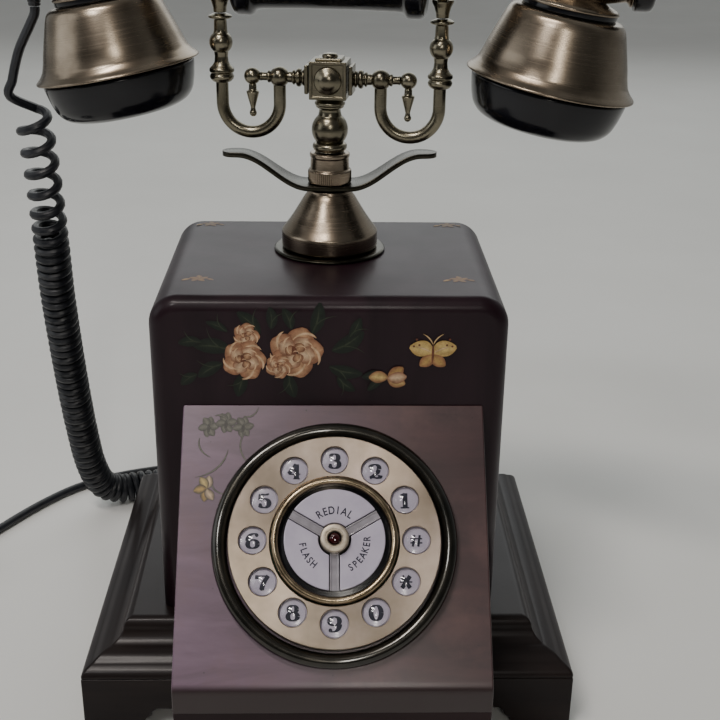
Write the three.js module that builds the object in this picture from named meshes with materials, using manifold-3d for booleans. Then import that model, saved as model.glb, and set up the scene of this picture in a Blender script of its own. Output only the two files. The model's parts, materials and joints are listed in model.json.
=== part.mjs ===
// Retro desk telephone: wooden case on a moulded plinth, sloping dial desk in front,
// brass cradle column on top, handset with two bell-shaped cups, curly handset cord and line cord.
// Units are millimetres. +X is the caller's right, -Y the front, +Z up, z = 0 the table.
import * as THREE from 'three';
import { mergeVertices } from 'three/addons/utils/BufferGeometryUtils.js';
import Module from 'manifold-3d';

const wasm = await Module();
wasm.setup();

// ---------------------------------------------------------------- driving dimensions
const GAP = 0.3; // air left between touching pieces
const BOARD = 8; // thickness of the case boards

const CASE_WIDTH = 125;
const CASE_DEPTH = 99.2;
const CASE_HEIGHT = 124.6;
const CASE_CORNER = 10.5;
const CASE_ROUNDING = 5;

const PLINTH_HEIGHT = 39.2;
const MOULDING_HEIGHT = 16.4;
const SIDE_MARGIN = 10.7;
const FRONT_MARGIN = 3.8;
const BACK_MARGIN = 15.5;
// moulding steps, outward and downward from the platform's edge
const MOULDING_STEPS = [
  [0, 0], [2.4, 0.8], [3.6, 2.8], [3.8, 4.6], [5.2, 7], [7.4, 8.6], [8.8, 8.9],
  [11.6, 10], [14, 11.9], [15, 12.4], [17, 13.8], [17.9, 15.4], [17.9, MOULDING_HEIGHT],
];
const MOULDING_OUT = MOULDING_STEPS.at(-1)[0];
const FRAME_WALL = 9;
const FOOT_WIDTH = 22;
const FOOT_ARCH = 9.2;

const DESK_REACH = 64.2; // front of the desk, ahead of the case front
const DESK_WIDTH = 105.8;
const DESK_X = 1.6; // the desk sits a little to the right of the case's middle
const DESK_TOP = 124.9;
const DESK_LIP = 50.8;
const PANEL_THICKNESS = 6;
const DESK_WALL = 6;
const APRON_SETBACK = 1;
const DIAL_X = 2;
const DIAL_DOWN = 0.8; // centre of the dial, down the slope from the panel's middle

const DIAL_HOLE = 34;
const KEY_CIRCLE = 27.45;
const KEY_HOLE = 4.65;
const SPOKE_GAP = 3.6;
const HUB_RADIUS = 4.8;

const COLUMN_BACK = 58.3; // column axis behind the case front
const CRADLE_YAW = THREE.MathUtils.degToRad(-8); // the right arm stands nearer to the caller
const ROD_RADIUS = 3.8;
const ROD_BORE = ROD_RADIUS + GAP;
const ROD_DEPTH = 24;

const ARM_HEIGHT = 64.6;
const BLOCK_SIZE = 13.6;
const TUBE_RADIUS = 2.3;
const INNER_LEG = 18.65;
const OUTER_LEG = 40.15;
const BEND_HEIGHT = 54.75;
const ARM_BALL = 3.7;

const HANDSET_HEIGHT = 101.5; // handset axis above the case top
const NECK_RADIUS = 7;
const GRIP_HALF = 35;
const END_RADIUS = 10.8;
const CUP_TILT = THREE.MathUtils.degToRad(11);
const RIM_X = 79.25;
const RIM_HEIGHT = 65.2;
const RIM_RADIUS = 30.3;
const BELL_HEIGHT = 25.4;
const END_START = 105.8;
const END_STOP = 113;
const CORD_FIXING = 109.5; // where the curly cord leaves the left end of the handset

const CURLY_WIRE = 3.6;
const CURLY_WIDTH = 14.7;
const LINE_CORD = 4.1;

// ---------------------------------------------------------------- derived places
const PLINTH_BACK = CASE_DEPTH + BACK_MARGIN + MOULDING_OUT;
const CASE_FRONT = (DESK_REACH - PLINTH_BACK) / 2;
const CASE_BACK = CASE_FRONT + CASE_DEPTH;
const CASE_TOP = PLINTH_HEIGHT + CASE_HEIGHT;
const COLUMN_Y = CASE_FRONT + COLUMN_BACK;
const FRAME_TOP = PLINTH_HEIGHT - MOULDING_HEIGHT;
const PLATFORM = {
  halfWidth: CASE_WIDTH / 2 + SIDE_MARGIN,
  front: CASE_FRONT - FRONT_MARGIN,
  back: CASE_BACK + BACK_MARGIN,
};
const FRAME = {
  halfWidth: PLATFORM.halfWidth + MOULDING_OUT,
  front: PLATFORM.front - MOULDING_OUT,
  back: PLATFORM.back + MOULDING_OUT,
};
const DESK_LEAN = Math.atan2(DESK_REACH, DESK_TOP - DESK_LIP);

// ---------------------------------------------------------------- materials
function finish(color, roughness, metalness) {
  return new THREE.MeshStandardMaterial({ color, roughness, metalness });
}
const lacqueredWood = () => finish(0x1d0d10, 0.25, 0);
const plinthWood = () => finish(0x17100e, 0.35, 0);
const panelWood = () => finish(0x4a2b35, 0.45, 0);
const antiqueBrass = () => finish(0x6e5a3c, 0.35, 1);
const darkBrass = () => finish(0x2b2620, 0.3, 1);
const blackPlastic = () => finish(0x08090b, 0.25, 0);
const keyPlastic = () => finish(0xaaa5b8, 0.2, 0);
const steel = () => finish(0x8d8f92, 0.4, 1);
const boardGreen = () => finish(0x1d4a2a, 0.6, 0);
const cordBlack = () => finish(0x0b0d12, 0.55, 0);
const rubyGlass = () => finish(0x4a0508, 0.1, 0);

// ---------------------------------------------------------------- geometry tools
// Merges shared vertices, drops the slivers this leaves and turns the faces outward.
function weld(geometry) {
  const bare = geometry.clone();
  for (const name of ['normal', 'uv']) bare.deleteAttribute(name);
  const merged = mergeVertices(bare, 1e-4);
  const source = merged.index.array;
  const kept = [];
  for (let i = 0; i < source.length; i += 3) {
    const [a, b, c] = [source[i], source[i + 1], source[i + 2]];
    if (a !== b && b !== c && c !== a) kept.push(a, b, c);
  }
  merged.setIndex(kept);
  if (signedVolume(merged) < 0) {
    merged.setIndex(kept.reverse());
  }
  return merged;
}

function signedVolume(geometry) {
  const position = geometry.attributes.position;
  const corner = [new THREE.Vector3(), new THREE.Vector3(), new THREE.Vector3()];
  let volume = 0;
  for (let i = 0; i < geometry.index.count; i += 3) {
    for (const k of [0, 1, 2]) corner[k].fromBufferAttribute(position, geometry.index.getX(i + k));
    volume += corner[0].dot(corner[1].clone().cross(corner[2])) / 6;
  }
  return volume;
}

function toSolid(geometry) {
  const welded = weld(geometry);
  return new wasm.Manifold(new wasm.Mesh({
    numProp: 3,
    vertProperties: new Float32Array(welded.attributes.position.array),
    triVerts: new Uint32Array(welded.index.array),
  }));
}

function toGeometry(solid) {
  const mesh = solid.getMesh();
  const geometry = new THREE.BufferGeometry();
  geometry.setAttribute('position', new THREE.BufferAttribute(mesh.vertProperties, 3));
  geometry.setIndex(new THREE.BufferAttribute(mesh.triVerts, 1));
  return geometry;
}

function join(...geometries) {
  return toGeometry(geometries.map(toSolid).reduce((sum, next) => sum.add(next)));
}

function cut(geometry, ...tools) {
  return toGeometry(tools.map(toSolid).reduce((rest, tool) => rest.subtract(tool), toSolid(geometry)));
}

function overlap(geometry, other) {
  return toGeometry(toSolid(geometry).intersect(toSolid(other)));
}

// A box between two corners.
function box([x0, y0, z0], [x1, y1, z1]) {
  const centre = [(x0 + x1) / 2, (y0 + y1) / 2, (z0 + z1) / 2];
  return new THREE.BoxGeometry(x1 - x0, y1 - y0, z1 - z0).translate(...centre);
}

// A body of revolution about +Z from [radius, height] points.
function turned(profile, segments = 20) {
  const points = profile.map(([radius, height]) => new THREE.Vector2(radius, height));
  return new THREE.LatheGeometry(points, segments).rotateX(Math.PI / 2);
}

// A hollow one, from a profile that closes on itself.
function ring(profile, segments) {
  return turned([...profile, profile[0]], segments);
}

// A turned body with its axis laid along +X (side 1) or -X (side -1).
function turnedAlongX(profile, side, segments = 16) {
  return turned(profile, segments).rotateY(side * Math.PI / 2);
}

function rod(radius, low, high, segments = 20) {
  return turned([[0, low], [radius, low], [radius, high], [0, high]], segments);
}

// Points on an arc about [r, z], angles in degrees.
function arc(r, z, radius, from, to, steps = 4) {
  return Array.from({ length: steps + 1 }, (_, i) => {
    const angle = THREE.MathUtils.degToRad(from + (to - from) * i / steps);
    return [r + radius * Math.cos(angle), z + radius * Math.sin(angle)];
  });
}

function outline(points) {
  return new THREE.Shape(points.map(([x, y]) => new THREE.Vector2(x, y)));
}

// Extrudes a side view, given as [y, z] points, across the width from -half to +half.
function acrossWidth(points, half) {
  const options = { depth: 2 * half, bevelEnabled: false };
  const prism = new THREE.ExtrudeGeometry(outline(points), options);
  // shape x -> world y, shape y -> world z, extrusion -> world x
  const basis = new THREE.Matrix4().set(
    0, 0, 1, -half,
    1, 0, 0, 0,
    0, 1, 0, 0,
    0, 0, 0, 1,
  );
  return prism.applyMatrix4(basis);
}

// A round tube through points; the section keeps clear of twisting.
function tube(points, radius, steps, sides) {
  const path = new THREE.CatmullRomCurve3(points.map((p) => new THREE.Vector3(...p)), false, 'centripetal');
  const section = outline(arc(0, 0, radius, 0, 360 - 360 / sides, sides - 1));
  return new THREE.ExtrudeGeometry(section, { steps, bevelEnabled: false, extrudePath: path });
}

const group = new THREE.Group();

function piece(parent, name, geometry, material) {
  const mesh = new THREE.Mesh(weld(geometry), material);
  mesh.name = name;
  parent.add(mesh);
  return mesh;
}

function placed(x, y, z) {
  const frame = new THREE.Group();
  frame.position.set(x, y, z);
  group.add(frame);
  return frame;
}

// ---------------------------------------------------------------- plinth
// The room the desk takes out of the plinth's front.
function deskNotch() {
  const half = DESK_WIDTH / 2 + GAP;
  return box([DESK_X - half, FRAME.front - 1, -1], [DESK_X + half, CASE_FRONT - GAP, PLINTH_HEIGHT + 1]);
}

// A stack of rectangles, one for each [outward, height] step, closed top and bottom.
function steppedSlab(steps) {
  const corners = steps.flatMap(([out, height]) => [
    [-PLATFORM.halfWidth - out, PLATFORM.front - out, height],
    [PLATFORM.halfWidth + out, PLATFORM.front - out, height],
    [PLATFORM.halfWidth + out, PLATFORM.back + out, height],
    [-PLATFORM.halfWidth - out, PLATFORM.back + out, height],
  ]);
  const faces = [];
  for (let layer = 0; layer < steps.length - 1; layer += 1) {
    for (let i = 0; i < 4; i += 1) {
      const a = 4 * layer + i;
      const b = 4 * layer + (i + 1) % 4;
      faces.push(a, b, a + 4, b, b + 4, a + 4);
    }
  }
  const last = 4 * (steps.length - 1);
  faces.push(0, 2, 1, 0, 3, 2, last, last + 1, last + 2, last, last + 2, last + 3);
  const geometry = new THREE.BufferGeometry();
  geometry.setAttribute('position', new THREE.Float32BufferAttribute(corners.flat(), 3));
  geometry.setIndex(faces);
  return geometry;
}

function plinthMoulding() {
  const steps = MOULDING_STEPS.map(([out, drop]) => [out, PLINTH_HEIGHT - drop]).reverse();
  const wireHole = rod(10, FRAME_TOP - 1, PLINTH_HEIGHT + 1).translate(30, CASE_BACK - 25, 0);
  return cut(steppedSlab(steps), deskNotch(), wireHole);
}

// One bracket-foot arch seen from the front: flat in the middle, rounded down to the feet.
function archOutline(half) {
  const shoulder = FOOT_ARCH - 3;
  return [
    [-half, -1], [-half, shoulder - 3], [3 - half, shoulder], [3 - half, FOOT_ARCH],
    [half - 3, FOOT_ARCH], [half - 3, shoulder], [half, shoulder - 3], [half, -1],
  ];
}

function plinthFrame() {
  const { halfWidth, front, back } = FRAME;
  const inner = FRAME_WALL;
  const outer = box([-halfWidth, front, 0], [halfWidth, back, FRAME_TOP - GAP]);
  const room = box(
    [inner - halfWidth, front + inner, -1],
    [halfWidth - inner, back - inner, FRAME_TOP + 1],
  );
  const middle = (front + back) / 2;
  const depthHalf = (back - front) / 2;
  const sideArch = acrossWidth(archOutline(depthHalf - FOOT_WIDTH), halfWidth + 1).translate(0, middle, 0);
  const frontArch = acrossWidth(archOutline(halfWidth - FOOT_WIDTH), depthHalf + 1)
    .rotateZ(Math.PI / 2).translate(0, middle, 0);
  return cut(outer, room, sideArch, frontArch, deskNotch());
}

function bottomCover() {
  const half = FRAME.halfWidth - FRAME_WALL - GAP;
  return box([-half, CASE_FRONT, 13], [half, FRAME.back - FRAME_WALL - GAP, 15]);
}

piece(group, 'plinth_moulding', plinthMoulding(), plinthWood());
piece(group, 'plinth_frame', plinthFrame(), plinthWood());
piece(group, 'bottom_cover', bottomCover(), steel());

// ---------------------------------------------------------------- case
function caseBlock() {
  const half = CASE_WIDTH / 2 - CASE_ROUNDING;
  const radius = CASE_CORNER - CASE_ROUNDING;
  const top = CASE_HEIGHT - CASE_ROUNDING;
  const front = new THREE.Shape();
  front.moveTo(-half, -10);
  front.lineTo(half, -10);
  front.lineTo(half, top - radius);
  front.absarc(half - radius, top - radius, radius, 0, Math.PI / 2, false);
  front.absarc(radius - half, top - radius, radius, Math.PI / 2, Math.PI, false);
  const block = new THREE.ExtrudeGeometry(front, {
    depth: CASE_DEPTH - 2 * CASE_ROUNDING,
    bevelSize: CASE_ROUNDING,
    bevelThickness: CASE_ROUNDING,
    bevelSegments: 3,
    curveSegments: 4,
  });
  block.rotateX(Math.PI / 2).translate(0, CASE_BACK - CASE_ROUNDING, PLINTH_HEIGHT);
  return overlap(block, box([-99, CASE_FRONT - 1, PLINTH_HEIGHT + GAP], [99, CASE_BACK + 1, 300]));
}

function caseShell() {
  const half = CASE_WIDTH / 2 - BOARD;
  const room = box([-half, CASE_FRONT + BOARD, 0], [half, CASE_BACK + 1, CASE_TOP - BOARD]);
  const rodHole = rod(ROD_BORE, CASE_TOP - BOARD - 1, CASE_TOP + 1).translate(0, COLUMN_Y, 0);
  return cut(caseBlock(), room, rodHole);
}

function rearPanel() {
  const half = CASE_WIDTH / 2 - BOARD - GAP;
  const low = PLINTH_HEIGHT + GAP;
  return box([-half, CASE_BACK - 6, low], [half, CASE_BACK - 1, CASE_TOP - BOARD - GAP]);
}

// Line board with its ringing transformer, relay and processor.
function mainCircuitBoard() {
  const back = CASE_BACK - 9;
  const front = back - 1.6;
  const low = PLINTH_HEIGHT + 20;
  const board = box([-42, front, low], [42, back, low + 70]);
  const transformer = box([-34, front - 16, low + 8], [-12, front + 0.5, low + 30]);
  const relay = box([0, front - 10, low + 10], [16, front + 0.5, low + 22]);
  const processor = box([-12, front - 3, low + 42], [16, front + 0.5, low + 56]);
  return join(board, transformer, relay, processor);
}

// Loudspeaker that stands on the platform, cone down over the wire hole's side.
function ringerSpeaker() {
  const floor = PLINTH_HEIGHT + GAP;
  const profile = [
    [0, floor], [24, floor], [24, floor + 3], [20, floor + 5], [12, floor + 10],
    [12, floor + 17], [0, floor + 17],
  ];
  return turned(profile, 14).translate(-22, CASE_FRONT + 40, 0);
}

// Leaf switch hung from the case top; the cradle rod ends just above its block.
function hookSwitch() {
  const top = CASE_TOP - BOARD - GAP;
  const blockTop = CASE_TOP - ROD_DEPTH - GAP;
  const side = [
    [6, top], [6, blockTop - 10], [-8, blockTop - 10], [-8, blockTop], [4, blockTop], [4, top],
  ];
  return acrossWidth(side, 7).translate(0, COLUMN_Y + 2, 0);
}

piece(group, 'case_shell', caseShell(), lacqueredWood());
piece(group, 'rear_panel', rearPanel(), lacqueredWood());
piece(group, 'main_circuit_board', mainCircuitBoard(), boardGreen());
piece(group, 'ringer_speaker', ringerSpeaker(), steel());
piece(group, 'hook_switch', hookSwitch(), blackPlastic());

// ---------------------------------------------------------------- sloping desk
// Height of the line that runs parallel to the panel's face, a given depth under it.
function slopeHeight(y, depth) {
  const ahead = CASE_FRONT - y;
  return DESK_TOP - ahead / Math.tan(DESK_LEAN) - depth / Math.sin(DESK_LEAN);
}

const deskFront = CASE_FRONT - DESK_REACH;
const deskBack = CASE_FRONT - GAP;

function dialFrame() {
  const middle = [CASE_FRONT - DESK_REACH / 2, (DESK_TOP + DESK_LIP) / 2];
  const down = [DIAL_DOWN * Math.sin(DESK_LEAN), DIAL_DOWN * Math.cos(DESK_LEAN)];
  const frame = placed(DIAL_X, middle[0] - down[0], middle[1] - down[1]);
  frame.rotation.x = Math.PI / 2 - DESK_LEAN;
  return frame;
}

const dial = dialFrame();

function dialPanel() {
  const under = (y) => slopeHeight(y, PANEL_THICKNESS);
  const rounding = 1.6;
  const side = [
    [deskBack, slopeHeight(deskBack, 0)],
    [deskFront + rounding, slopeHeight(deskFront + rounding, 0)],
    [deskFront + 0.4, slopeHeight(deskFront, 0) + 0.4],
    [deskFront, slopeHeight(deskFront, 0) - rounding],
    [deskFront, under(deskFront)],
    [deskBack, under(deskBack)],
  ];
  const hole = rod(DIAL_HOLE, -30, 30, 28);
  dial.updateMatrix();
  const board = acrossWidth(side, DESK_WIDTH / 2).translate(DESK_X, 0, 0);
  return cut(board, hole.applyMatrix4(dial.matrix));
}

function deskBox() {
  const front = deskFront + APRON_SETBACK;
  const rim = (y) => slopeHeight(y, PANEL_THICKNESS) - GAP;
  const half = DESK_WIDTH / 2;
  const side = [[front, 0], [deskBack, 0], [deskBack, rim(deskBack)], [front, rim(front)]];
  const room = acrossWidth([
    [front + DESK_WALL, DESK_WALL], [deskBack + 1, DESK_WALL],
    [deskBack + 1, DESK_TOP + 1], [front + DESK_WALL, DESK_TOP + 1],
  ], half - DESK_WALL);
  return cut(acrossWidth(side, half), room).translate(DESK_X, 0, 0);
}

piece(group, 'dial_panel', dialPanel(), panelWood());
piece(group, 'desk_box', deskBox(), lacqueredWood());

// ---------------------------------------------------------------- dial
// Heights below are above the panel's face, in the dial's own frame.
const PLATE = { low: 5.7, high: 7.1, inner: 21.7, outer: 35.8 };
const INNER_RING = { middle: 20.1, radius: 1.25, low: 5.5, centre: 8.2 };
const SPIDER_TOP = 5.2; // upper face of the disc that carries the function keys
const FUNCTION_KEY = { low: 6.6, high: 9.2, outer: 16.95 };
const HUB_TOP = 12;
const LAMP_SEAT = 7.6;
// clockwise from the top of the dial
const KEY_NAMES = ['3', '2', '1', 'hash', 'star', '0', '9', '8', '7', '6', '5', '4'];

function dialBezel() {
  return ring([[36.5, GAP], [41.7, GAP], ...arc(39.1, 2.4, 2.6, 0, 180, 4)], 28);
}

function keyPlace(i) {
  const angle = i * Math.PI / 6;
  return [KEY_CIRCLE * Math.sin(angle), KEY_CIRCLE * Math.cos(angle)];
}

function dialPlate() {
  const { low, high, inner, outer } = PLATE;
  const skirt = outer - 1;
  const plate = ring([
    [inner, low], [skirt, low], [skirt, GAP], [outer, GAP], [outer, high], [inner, high],
  ], 28);
  const holes = KEY_NAMES.map((_, i) => rod(KEY_HOLE, low - 1, high + 1, 10).translate(...keyPlace(i), 0));
  return cut(plate, ...holes);
}

function innerRing() {
  const { middle, radius, low, centre } = INNER_RING;
  return ring([[middle - radius, low], [middle + radius, low], ...arc(middle, centre, radius, 0, 180, 4)], 24);
}

// Three-armed carrier under the function keys, with the hub that holds the lamp.
function functionSpider() {
  const base = rod(INNER_RING.middle + INNER_RING.radius, SPIDER_TOP - 1.2, SPIDER_TOP, 24);
  const hub = turned([
    [0, -2.3], [3, -2.3], [3, 4.5], [HUB_RADIUS, 4.5], [HUB_RADIUS, HUB_TOP - 0.6],
    [4.2, HUB_TOP], [2.3, HUB_TOP], [2.3, LAMP_SEAT], [0, LAMP_SEAT],
  ], 14);
  const bars = [60, 180, 300].map((degrees) => box(
    [-1.45, 3, SPIDER_TOP - 0.5],
    [1.45, FUNCTION_KEY.outer, FUNCTION_KEY.high - 0.4],
  ).rotateZ(-THREE.MathUtils.degToRad(degrees)));
  return join(base, hub, ...bars);
}

function jewelLamp() {
  const low = LAMP_SEAT + GAP;
  return turned([[0, low], [2, low], [2, HUB_TOP - 1.4], [1.5, HUB_TOP - 0.7], [0, HUB_TOP - 0.4]], 10);
}

// A domed push key on a stem, held in by its flange under the plate.
function dialKey() {
  return turned([
    [0, -1], [1.8, -1], [1.8, 4.2], [5.2, 4.2], [5.2, 5], [4.25, 5], [4.25, 6.6], [3.2, 7.4], [0, 7.8],
  ], 10);
}

// One third of the middle disc, centred on the given clockwise angle from the top.
function functionKey(degrees) {
  const { low, high, outer } = FUNCTION_KEY;
  const inner = HUB_RADIUS + 0.7;
  const insetOuter = Math.asin(SPOKE_GAP / 2 / outer);
  const insetInner = Math.asin(SPOKE_GAP / 2 / inner);
  const [from, to] = [Math.PI / 6, 5 * Math.PI / 6];
  const sector = new THREE.Shape();
  sector.absarc(0, 0, outer, from + insetOuter, to - insetOuter, false);
  sector.absarc(0, 0, inner, to - insetInner, from + insetInner, true);
  return new THREE.ExtrudeGeometry(sector, { depth: high - low, bevelEnabled: false, curveSegments: 6 })
    .translate(0, 0, low).rotateZ(-THREE.MathUtils.degToRad(degrees));
}

piece(dial, 'dial_bezel', dialBezel(), darkBrass());
piece(dial, 'dial_plate', dialPlate(), antiqueBrass());
piece(dial, 'dial_inner_ring', innerRing(), antiqueBrass());
piece(dial, 'function_spider', functionSpider(), antiqueBrass());
piece(dial, 'jewel_lamp', jewelLamp(), rubyGlass());
piece(dial, 'keypad_circuit_board', rod(33, -4.2, -2.6, 24), boardGreen());

KEY_NAMES.forEach((label, i) => {
  piece(dial, `key_${label}`, dialKey(), keyPlastic()).position.set(...keyPlace(i), 0);
});
['redial', 'speaker', 'flash'].forEach((label, i) => {
  piece(dial, `key_${label}`, functionKey(120 * i), keyPlastic());
});

// ---------------------------------------------------------------- column
// Heights below are above the case top.
const column = placed(0, COLUMN_Y, CASE_TOP);

function columnFlange() {
  return ring([[ROD_BORE, GAP], [21.2, GAP], [21.2, 1], [20.6, 1.4], [ROD_BORE, 1.4]], 24);
}

function columnBell() {
  return ring([
    [ROD_BORE, 1.7], [18.2, 1.7], [18.2, 7.4], [17.6, 8.6], [13.4, 14.4], [9, 22], [7.8, 23.9],
    [ROD_BORE, 23.9],
  ], 20);
}

// Bent brass plate under the collar: flat in the middle, both wings swept up.
const WING = {
  low: 24.2, rise: 11.8, flat: 8, sweep: 26, thickness: 1.9, tip: 40, tipRadius: 4.4, waist: 8.6,
};

function wingHeight(x) {
  const along = THREE.MathUtils.clamp((Math.abs(x) - WING.flat) / WING.sweep, 0, 1);
  return WING.low + WING.rise * 0.5 * (1 - Math.cos(Math.PI * along));
}

function wingPlate() {
  const right = [0, 8, 12, 16, 20, 24, 28, 34, WING.tip];
  const stations = [...right.slice(1).map((x) => -x).reverse(), ...right];
  const lower = stations.map((x) => [x, wingHeight(x)]);
  const upper = lower.map(([x, z]) => [x, z + WING.thickness]).reverse();
  const sheet = acrossWidth([...lower, ...upper], 10).rotateZ(Math.PI / 2);
  const tipCentre = WING.tip - WING.tipRadius;
  const blade = new THREE.Shape();
  blade.absarc(tipCentre, 0, WING.tipRadius, -Math.PI / 2, Math.PI / 2, false);
  blade.lineTo(0, WING.waist);
  blade.absarc(-tipCentre, 0, WING.tipRadius, Math.PI / 2, 3 * Math.PI / 2, false);
  blade.lineTo(0, -WING.waist);
  const plan = new THREE.ExtrudeGeometry(blade, { depth: 60, bevelEnabled: false, curveSegments: 4 });
  return cut(overlap(sheet, plan), rod(ROD_BORE, 0, 60, 14));
}

function knurledCollar() {
  return ring([
    [ROD_BORE, 26.5], [8.1, 26.5], [8.1, 31], [7.3, 32], [6.9, 37.7], [ROD_BORE, 37.7],
  ], 18);
}

piece(column, 'column_flange', columnFlange(), antiqueBrass());
piece(column, 'column_bell', columnBell(), antiqueBrass());
piece(column, 'wing_plate', wingPlate(), antiqueBrass());
piece(column, 'knurled_collar', knurledCollar(), antiqueBrass());

// ---------------------------------------------------------------- cradle
const cradle = placed(0, COLUMN_Y, CASE_TOP);
cradle.rotation.z = CRADLE_YAW;

// Baluster with its rod, which runs down through collar, bell and case top.
function cradlePost() {
  const profile = [
    [0, -ROD_DEPTH], [ROD_RADIUS, -ROD_DEPTH], [ROD_RADIUS, 38], ...arc(4.4, 39.8, 1.8, -80, 80, 2),
    ...arc(0, 45.5, 6.75, -40, 45, 4), [4, 53.4], [5.4, 54.9], [5.4, 56.5], [4.6, 57.5], [0, 57.5],
  ];
  return turned(profile, 14);
}

function cradleBlock() {
  const bevel = 1;
  const half = BLOCK_SIZE / 2 - bevel;
  const face = outline([[-half, -half], [half, -half], [half, half], [-half, half]]);
  const options = { depth: 2 * half, bevelSize: bevel, bevelThickness: bevel, bevelSegments: 1 };
  const cube = new THREE.ExtrudeGeometry(face, options).translate(0, 0, -half);
  const dome = () => turned([[0, 5], [3.9, 5], [3.9, 7.2], [2.4, 8.8], [0, 9.4]], 10);
  const front = dome().rotateX(Math.PI / 2);
  const back = dome().rotateX(-Math.PI / 2);
  return join(cube, dome(), front, back).translate(0, 0, ARM_HEIGHT);
}

// Turned arm with its ball, and the drop finial that hangs from the end ball.
function cradleArm(side) {
  const start = BLOCK_SIZE / 2 + 0.5;
  const plate = new THREE.BoxGeometry(1.5, 10.4, 10.4).translate(side * (start + 0.75), 0, 0);
  const bar = turnedAlongX([
    [0, start + 1], [2.4, start + 1], [2.4, 9.2], [2, 10], [3.2, 11], [3.2, 11.8], [2, 12.8],
    ...arc(0, INNER_LEG, ARM_BALL, -55, 55, 4), [2.2, 23], [1.5, 23.6], [1.5, 26], [0, 26],
  ], side, 10);
  const endBall = new THREE.SphereGeometry(3.1, 10, 6).translate(side * 28.75, 0, 0);
  const finial = turned([
    [0, -14.8], [1.4, -13.9], [1.4, -12.9], [0.9, -11.6], [2.4, -5.6], [1.5, -4.8], [1.5, -1.5], [0, -1.5],
  ], 8).translate(side * 28.75, 0, 0);
  return join(plate, bar, endBall, finial).translate(0, 0, ARM_HEIGHT);
}

// J-shaped tube that starts under the arm ball and carries the turned upright.
function cradleUpright(side) {
  const middle = (INNER_LEG + OUTER_LEG) / 2;
  const bend = (OUTER_LEG - INNER_LEG) / 2;
  const start = ARM_HEIGHT - ARM_BALL - GAP;
  const turn = arc(middle, BEND_HEIGHT, bend, 180, 360, 6).map(([x, z]) => [side * x, 0, z]);
  const path = [[side * INNER_LEG, 0, start], ...turn, [side * OUTER_LEG, 0, 64]];
  const turnings = turned([
    [0, 62], [TUBE_RADIUS, 62], [4.5, 65], [4.5, 67], [TUBE_RADIUS, 69.8],
    ...arc(0, 76.4, 4.2, -55, 55, 4), [TUBE_RADIUS, 84.8],
    [4.25, 85.2], [4.25, 86.2], [2.6, 86.6], [0, 86.6],
  ], 10).translate(side * OUTER_LEG, 0, 0);
  return join(tube(path, TUBE_RADIUS, 14, 8), turnings);
}

// Calyx and open fork that the handset's neck lies in.
function cradleFork(side) {
  const bore = NECK_RADIUS + 0.5;
  const outer = bore + 2.2;
  const prong = 7.5;
  const shape = new THREE.Shape();
  shape.absarc(0, 0, outer, Math.PI, 2 * Math.PI, false);
  shape.lineTo(outer, prong);
  shape.lineTo(bore, prong);
  shape.absarc(0, 0, bore, 2 * Math.PI, Math.PI, true);
  shape.lineTo(-bore, prong);
  shape.lineTo(-outer, prong);
  const saddle = new THREE.ExtrudeGeometry(shape, { depth: 4, bevelEnabled: false, curveSegments: 5 })
    .translate(0, 0, -2).rotateX(Math.PI / 2).rotateZ(Math.PI / 2).translate(0, 0, HANDSET_HEIGHT);
  const calyx = turned([[0, 86.9], [2.3, 86.9], [2.6, 89.4], [3.4, 93], [0, 93]], 10);
  return join(saddle, calyx).translate(side * OUTER_LEG, 0, 0);
}

piece(cradle, 'cradle_post', cradlePost(), antiqueBrass());
piece(cradle, 'cradle_block', cradleBlock(), antiqueBrass());

// ---------------------------------------------------------------- handset
const handset = new THREE.Group();
handset.position.z = HANDSET_HEIGHT;
cradle.add(handset);

function handsetGrip() {
  const half = [[13, 26], [15.3, 28.6], [15.3, 32.6], [14, 34.4], [9, GRIP_HALF]];
  const mirrored = half.map(([r, x]) => [r, -x]).reverse();
  return turnedAlongX([[0, -GRIP_HALF], ...mirrored, ...half, [0, GRIP_HALF]], 1, 18);
}

// Geometry made about the cup's own axis, moved to the side's place under the handset.
function underCup(geometry, side) {
  return geometry.rotateY(side * CUP_TILT).translate(side * RIM_X, 0, RIM_HEIGHT - HANDSET_HEIGHT);
}

// Brass neck: straight bar, elbow and the cone and collar down to the bell.
function handsetNeck(side) {
  const elbow = RIM_X + (HANDSET_HEIGHT - RIM_HEIGHT) * Math.tan(CUP_TILT);
  const bar = turnedAlongX([
    [0, GRIP_HALF + GAP], [8.4, GRIP_HALF + GAP], [8.4, 36.4], [NECK_RADIUS, 37], [NECK_RADIUS, 44],
    [8.2, 45.6], [8.2, 48.4], [6.2, 50], [6.2, 70], [8.8, elbow - 6], [8.8, elbow + 6],
    [7.6, END_START - GAP], [0, END_START - GAP],
  ], side, 14);
  const throat = turned([
    [0, BELL_HEIGHT + GAP], [17.4, BELL_HEIGHT + GAP], [17.4, 28.6], [9, 32], [6, 33.6], [0, 33.6],
  ], 16);
  return join(bar, underCup(throat, side));
}

function handsetBell(side) {
  const outside = [
    [RIM_RADIUS, 0], [RIM_RADIUS, 0.9], [27.4, 3.8], [25.2, 10], [21.2, 23], [17.6, BELL_HEIGHT],
  ];
  const inside = [[6, BELL_HEIGHT], [6, 24], [17.2, 24], [19.8, 22], [23.8, 9.6], [26.4, 2.6], [28.6, 0]];
  return underCup(ring([...outside, ...inside], 20), side);
}

function handsetCap(side) {
  return underCup(turned([
    [0, -16.4], [20, -15.6], [24.6, -13.6], [27, -9.6], [28.4, -0.4], [24, -0.4], [24, 3], [0, 3],
  ], 20), side);
}

function handsetEnd(side) {
  return turnedAlongX([
    [0, END_START], [END_RADIUS, END_START],
    [END_RADIUS, END_STOP - 1.6], [9.4, END_STOP - 0.3], [0, END_STOP],
  ], side, 16);
}

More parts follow.
